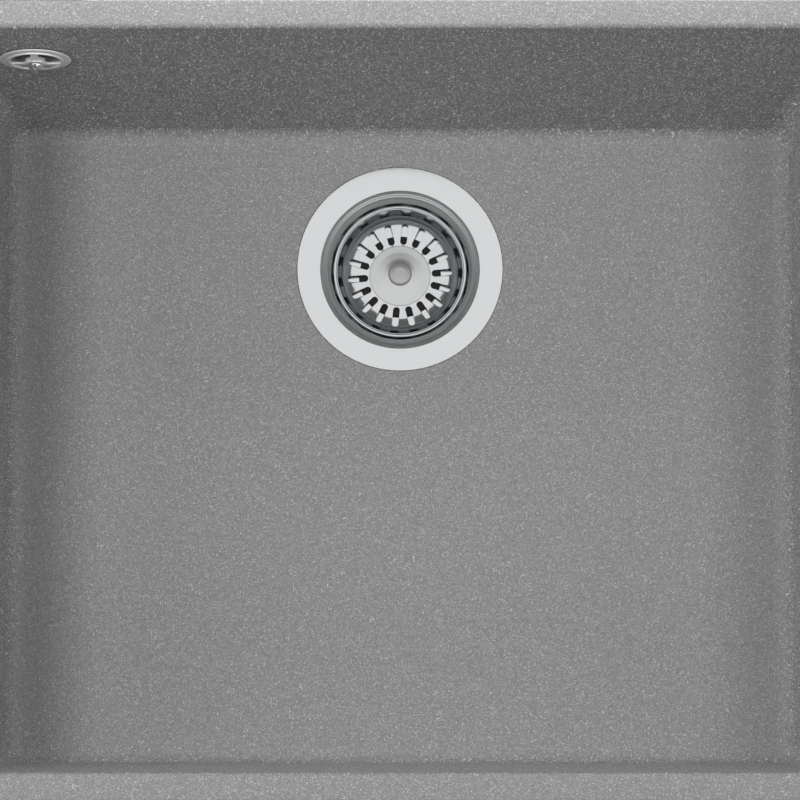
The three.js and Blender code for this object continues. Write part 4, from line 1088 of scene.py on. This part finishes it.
def hose_skin():
    """A ribbed tube: a circle carried along the route, its radius swollen by the ribs.

    A rib's swell is its height times (0.5 - 0.5 cos(its phase))^0.7. The circle's two axes are
    kept free of twist: each frame's axis is the one before it with its part along the route
    taken off.
    """
    route = hose_route()
    length = np.append(0, np.cumsum(np.linalg.norm(np.diff(route, axis=0), axis=1)))
    whole = length[-1]
    ribs = int((whole - HOSE_PLAIN) // RIB_PITCH)
    ribs_from = (whole - ribs * RIB_PITCH) / 2
    at_flange = np.array([0, 0.01, HOSE_FLANGE - 0.01, HOSE_FLANGE, HOSE_FLANGE + 0.01])
    outside = np.concatenate([at_flange, np.linspace(2, ribs_from, 12),
                              ribs_from + np.arange(1, ribs * 10 + 1) * RIB_PITCH / 10])
    outside = np.concatenate([outside, (whole - outside[:17])[::-1]])
    wave = 0.5 - 0.5 * np.cos(2 * np.pi * (outside - ribs_from) / RIB_PITCH)
    in_ribs = (outside > ribs_from) & (outside < whole - ribs_from)
    radius = HOSE_R + RIB_HEIGHT * wave ** 0.7 * in_ribs
    in_flange = (outside <= HOSE_FLANGE) | (outside >= whole - HOSE_FLANGE)
    radius = np.where(in_flange, HOSE_FLANGE_R, radius)
    inside = np.linspace(whole, 0, 60)
    distance = np.concatenate([outside, inside])
    radius = np.concatenate([radius, np.full_like(inside, SPIGOT_BORE)])
    fine = np.linspace(0, whole, 800)
    centre = np.stack([np.interp(fine, length, route[:, i]) for i in range(3)], axis=-1)
    along = unit(np.gradient(centre, axis=0))
    side = np.zeros_like(along)
    side[0] = unit(np.cross(along[0], (0.3, 0.2, 0.9)))
    for i in range(1, len(fine)):
        side[i] = unit(side[i - 1] - along[i] * (side[i - 1] @ along[i]))
    third = np.cross(along, side)
    at = [np.stack([np.interp(distance, fine, axis[:, i]) for i in range(3)], axis=-1)[:, None]
          for axis in (centre, side, third)]
    angle = 2 * np.pi * np.arange(48)[:, None] / 48
    spokes = at[1] * np.cos(angle) + at[2] * np.sin(angle)
    return facing_out(skin(at[0] + radius[:, None, None] * spokes, wrap_rows=True))


piece("ribbed_hose", [hose_skin()], grey_plastic, "sink", ["overflow_hose"])

# ---- floor, light and world

# Metres
FLOOR_DROP = 0.36  # below the rim
FLOOR_REACH = 3.0
FLOOR_FADE = 0.6, 1.6


def studio_floor():
    """A pale, matt floor that fades out into the white room, and isn't seen from below."""
    far = FLOOR_REACH
    corners = [(x, y, -FLOOR_DROP) for x, y in ((-far, -far), (far, -far), (far, far), (-far, far))]
    mesh = bpy.data.meshes.new("studio_floor")
    mesh.from_pydata(corners, [], [(0, 1, 2, 3)])
    material, tree, place = started("studio_floor")
    cloud = add(tree, "ShaderNodeTexNoise", {"Vector": place, "Scale": 3.0})
    tint = add(tree, "ShaderNodeValToRGB", {"Fac": cloud}, [(0.3, "#eeeeec"), (0.7, "#f2f2f0")])
    shader = add(tree, "ShaderNodeBsdfPrincipled", {"Base Color": tint, "Roughness": 0.9})
    distance = add(tree, "ShaderNodeVectorMath", {0: place}, operation="LENGTH")
    fade = add(tree, "ShaderNodeMapRange", {
        "Value": distance.outputs["Value"], "From Min": FLOOR_FADE[0], "From Max": FLOOR_FADE[1]},
        interpolation_type="SMOOTHSTEP")
    below = add(tree, "ShaderNodeNewGeometry").outputs["Backfacing"]
    gone = add(tree, "ShaderNodeMath", {0: fade, 1: below}, operation="MAXIMUM")
    clear = add(tree, "ShaderNodeBsdfTransparent")
    mix = add(tree, "ShaderNodeMixShader", {0: gone, 1: shader, 2: clear})
    add(tree, "ShaderNodeOutputMaterial", {"Surface": mix})
    mesh.materials.append(material)
    floor = bpy.data.objects.new("studio_floor", mesh)
    scene.collection.objects.link(floor)


def softbox(name, place, aim, width, height, power):
    """A rectangular area light at place, facing aim. Metres and watts.

    Metal mirrors the white room and none of the lamps, as with crossed polarising sheets.
    """
    light = bpy.data.lights.new(name, "AREA")
    light.shape, light.size, light.size_y, light.energy = "RECTANGLE", width, height, power
    lamp = bpy.data.objects.new(name, light)
    lamp.location = place
    lamp.rotation_euler = (Vector(aim) - Vector(place)).to_track_quat("-Z", "Y").to_euler()
    lamp.visible_glossy = False
    scene.collection.objects.link(lamp)


def studio_world():
    """White to camera, glossy and transmitted rays, and no light of its own on the object."""
    world = bpy.data.worlds.new("studio")
    scene.world = world
    world.use_nodes = True
    tree = world.node_tree
    tree.nodes.clear()
    path = add(tree, "ShaderNodeLightPath")
    seen = path.outputs["Is Camera Ray"]
    for ray in ("Is Glossy Ray", "Is Transmission Ray"):
        seen = add(tree, "ShaderNodeMath", {0: seen, 1: path.outputs[ray]}, operation="MAXIMUM")
    white = add(tree, "ShaderNodeBackground", {"Color": (1, 1, 1, 1), "Strength": seen})
    add(tree, "ShaderNodeOutputWorld", {"Surface": white})


studio_floor()
studio_world()
softbox("high_left_softbox", (-1.3, 0, 4), (0, 0, -0.2), 0.6, 0.6, 80)
softbox("high_right_softbox", (1.3, 0, 4), (0, 0, -0.2), 0.6, 0.6, 44.5)
softbox("left_softbox", (-1.2, 0, 1), (0, 0, -0.1), 0.8, 0.8, 7.5)
softbox("right_softbox", (1.2, 0, 1), (0, 0, -0.1), 0.8, 0.8, 3.5)
softbox("front_softbox", (0, -1.2, 1.2), (0, 0, -0.1), 0.8, 0.8, 4.8)
softbox("rear_strip_light", (0, 0.4, 0.15), (0, 0.2, 0), 0.8, 0.15, 1.5)
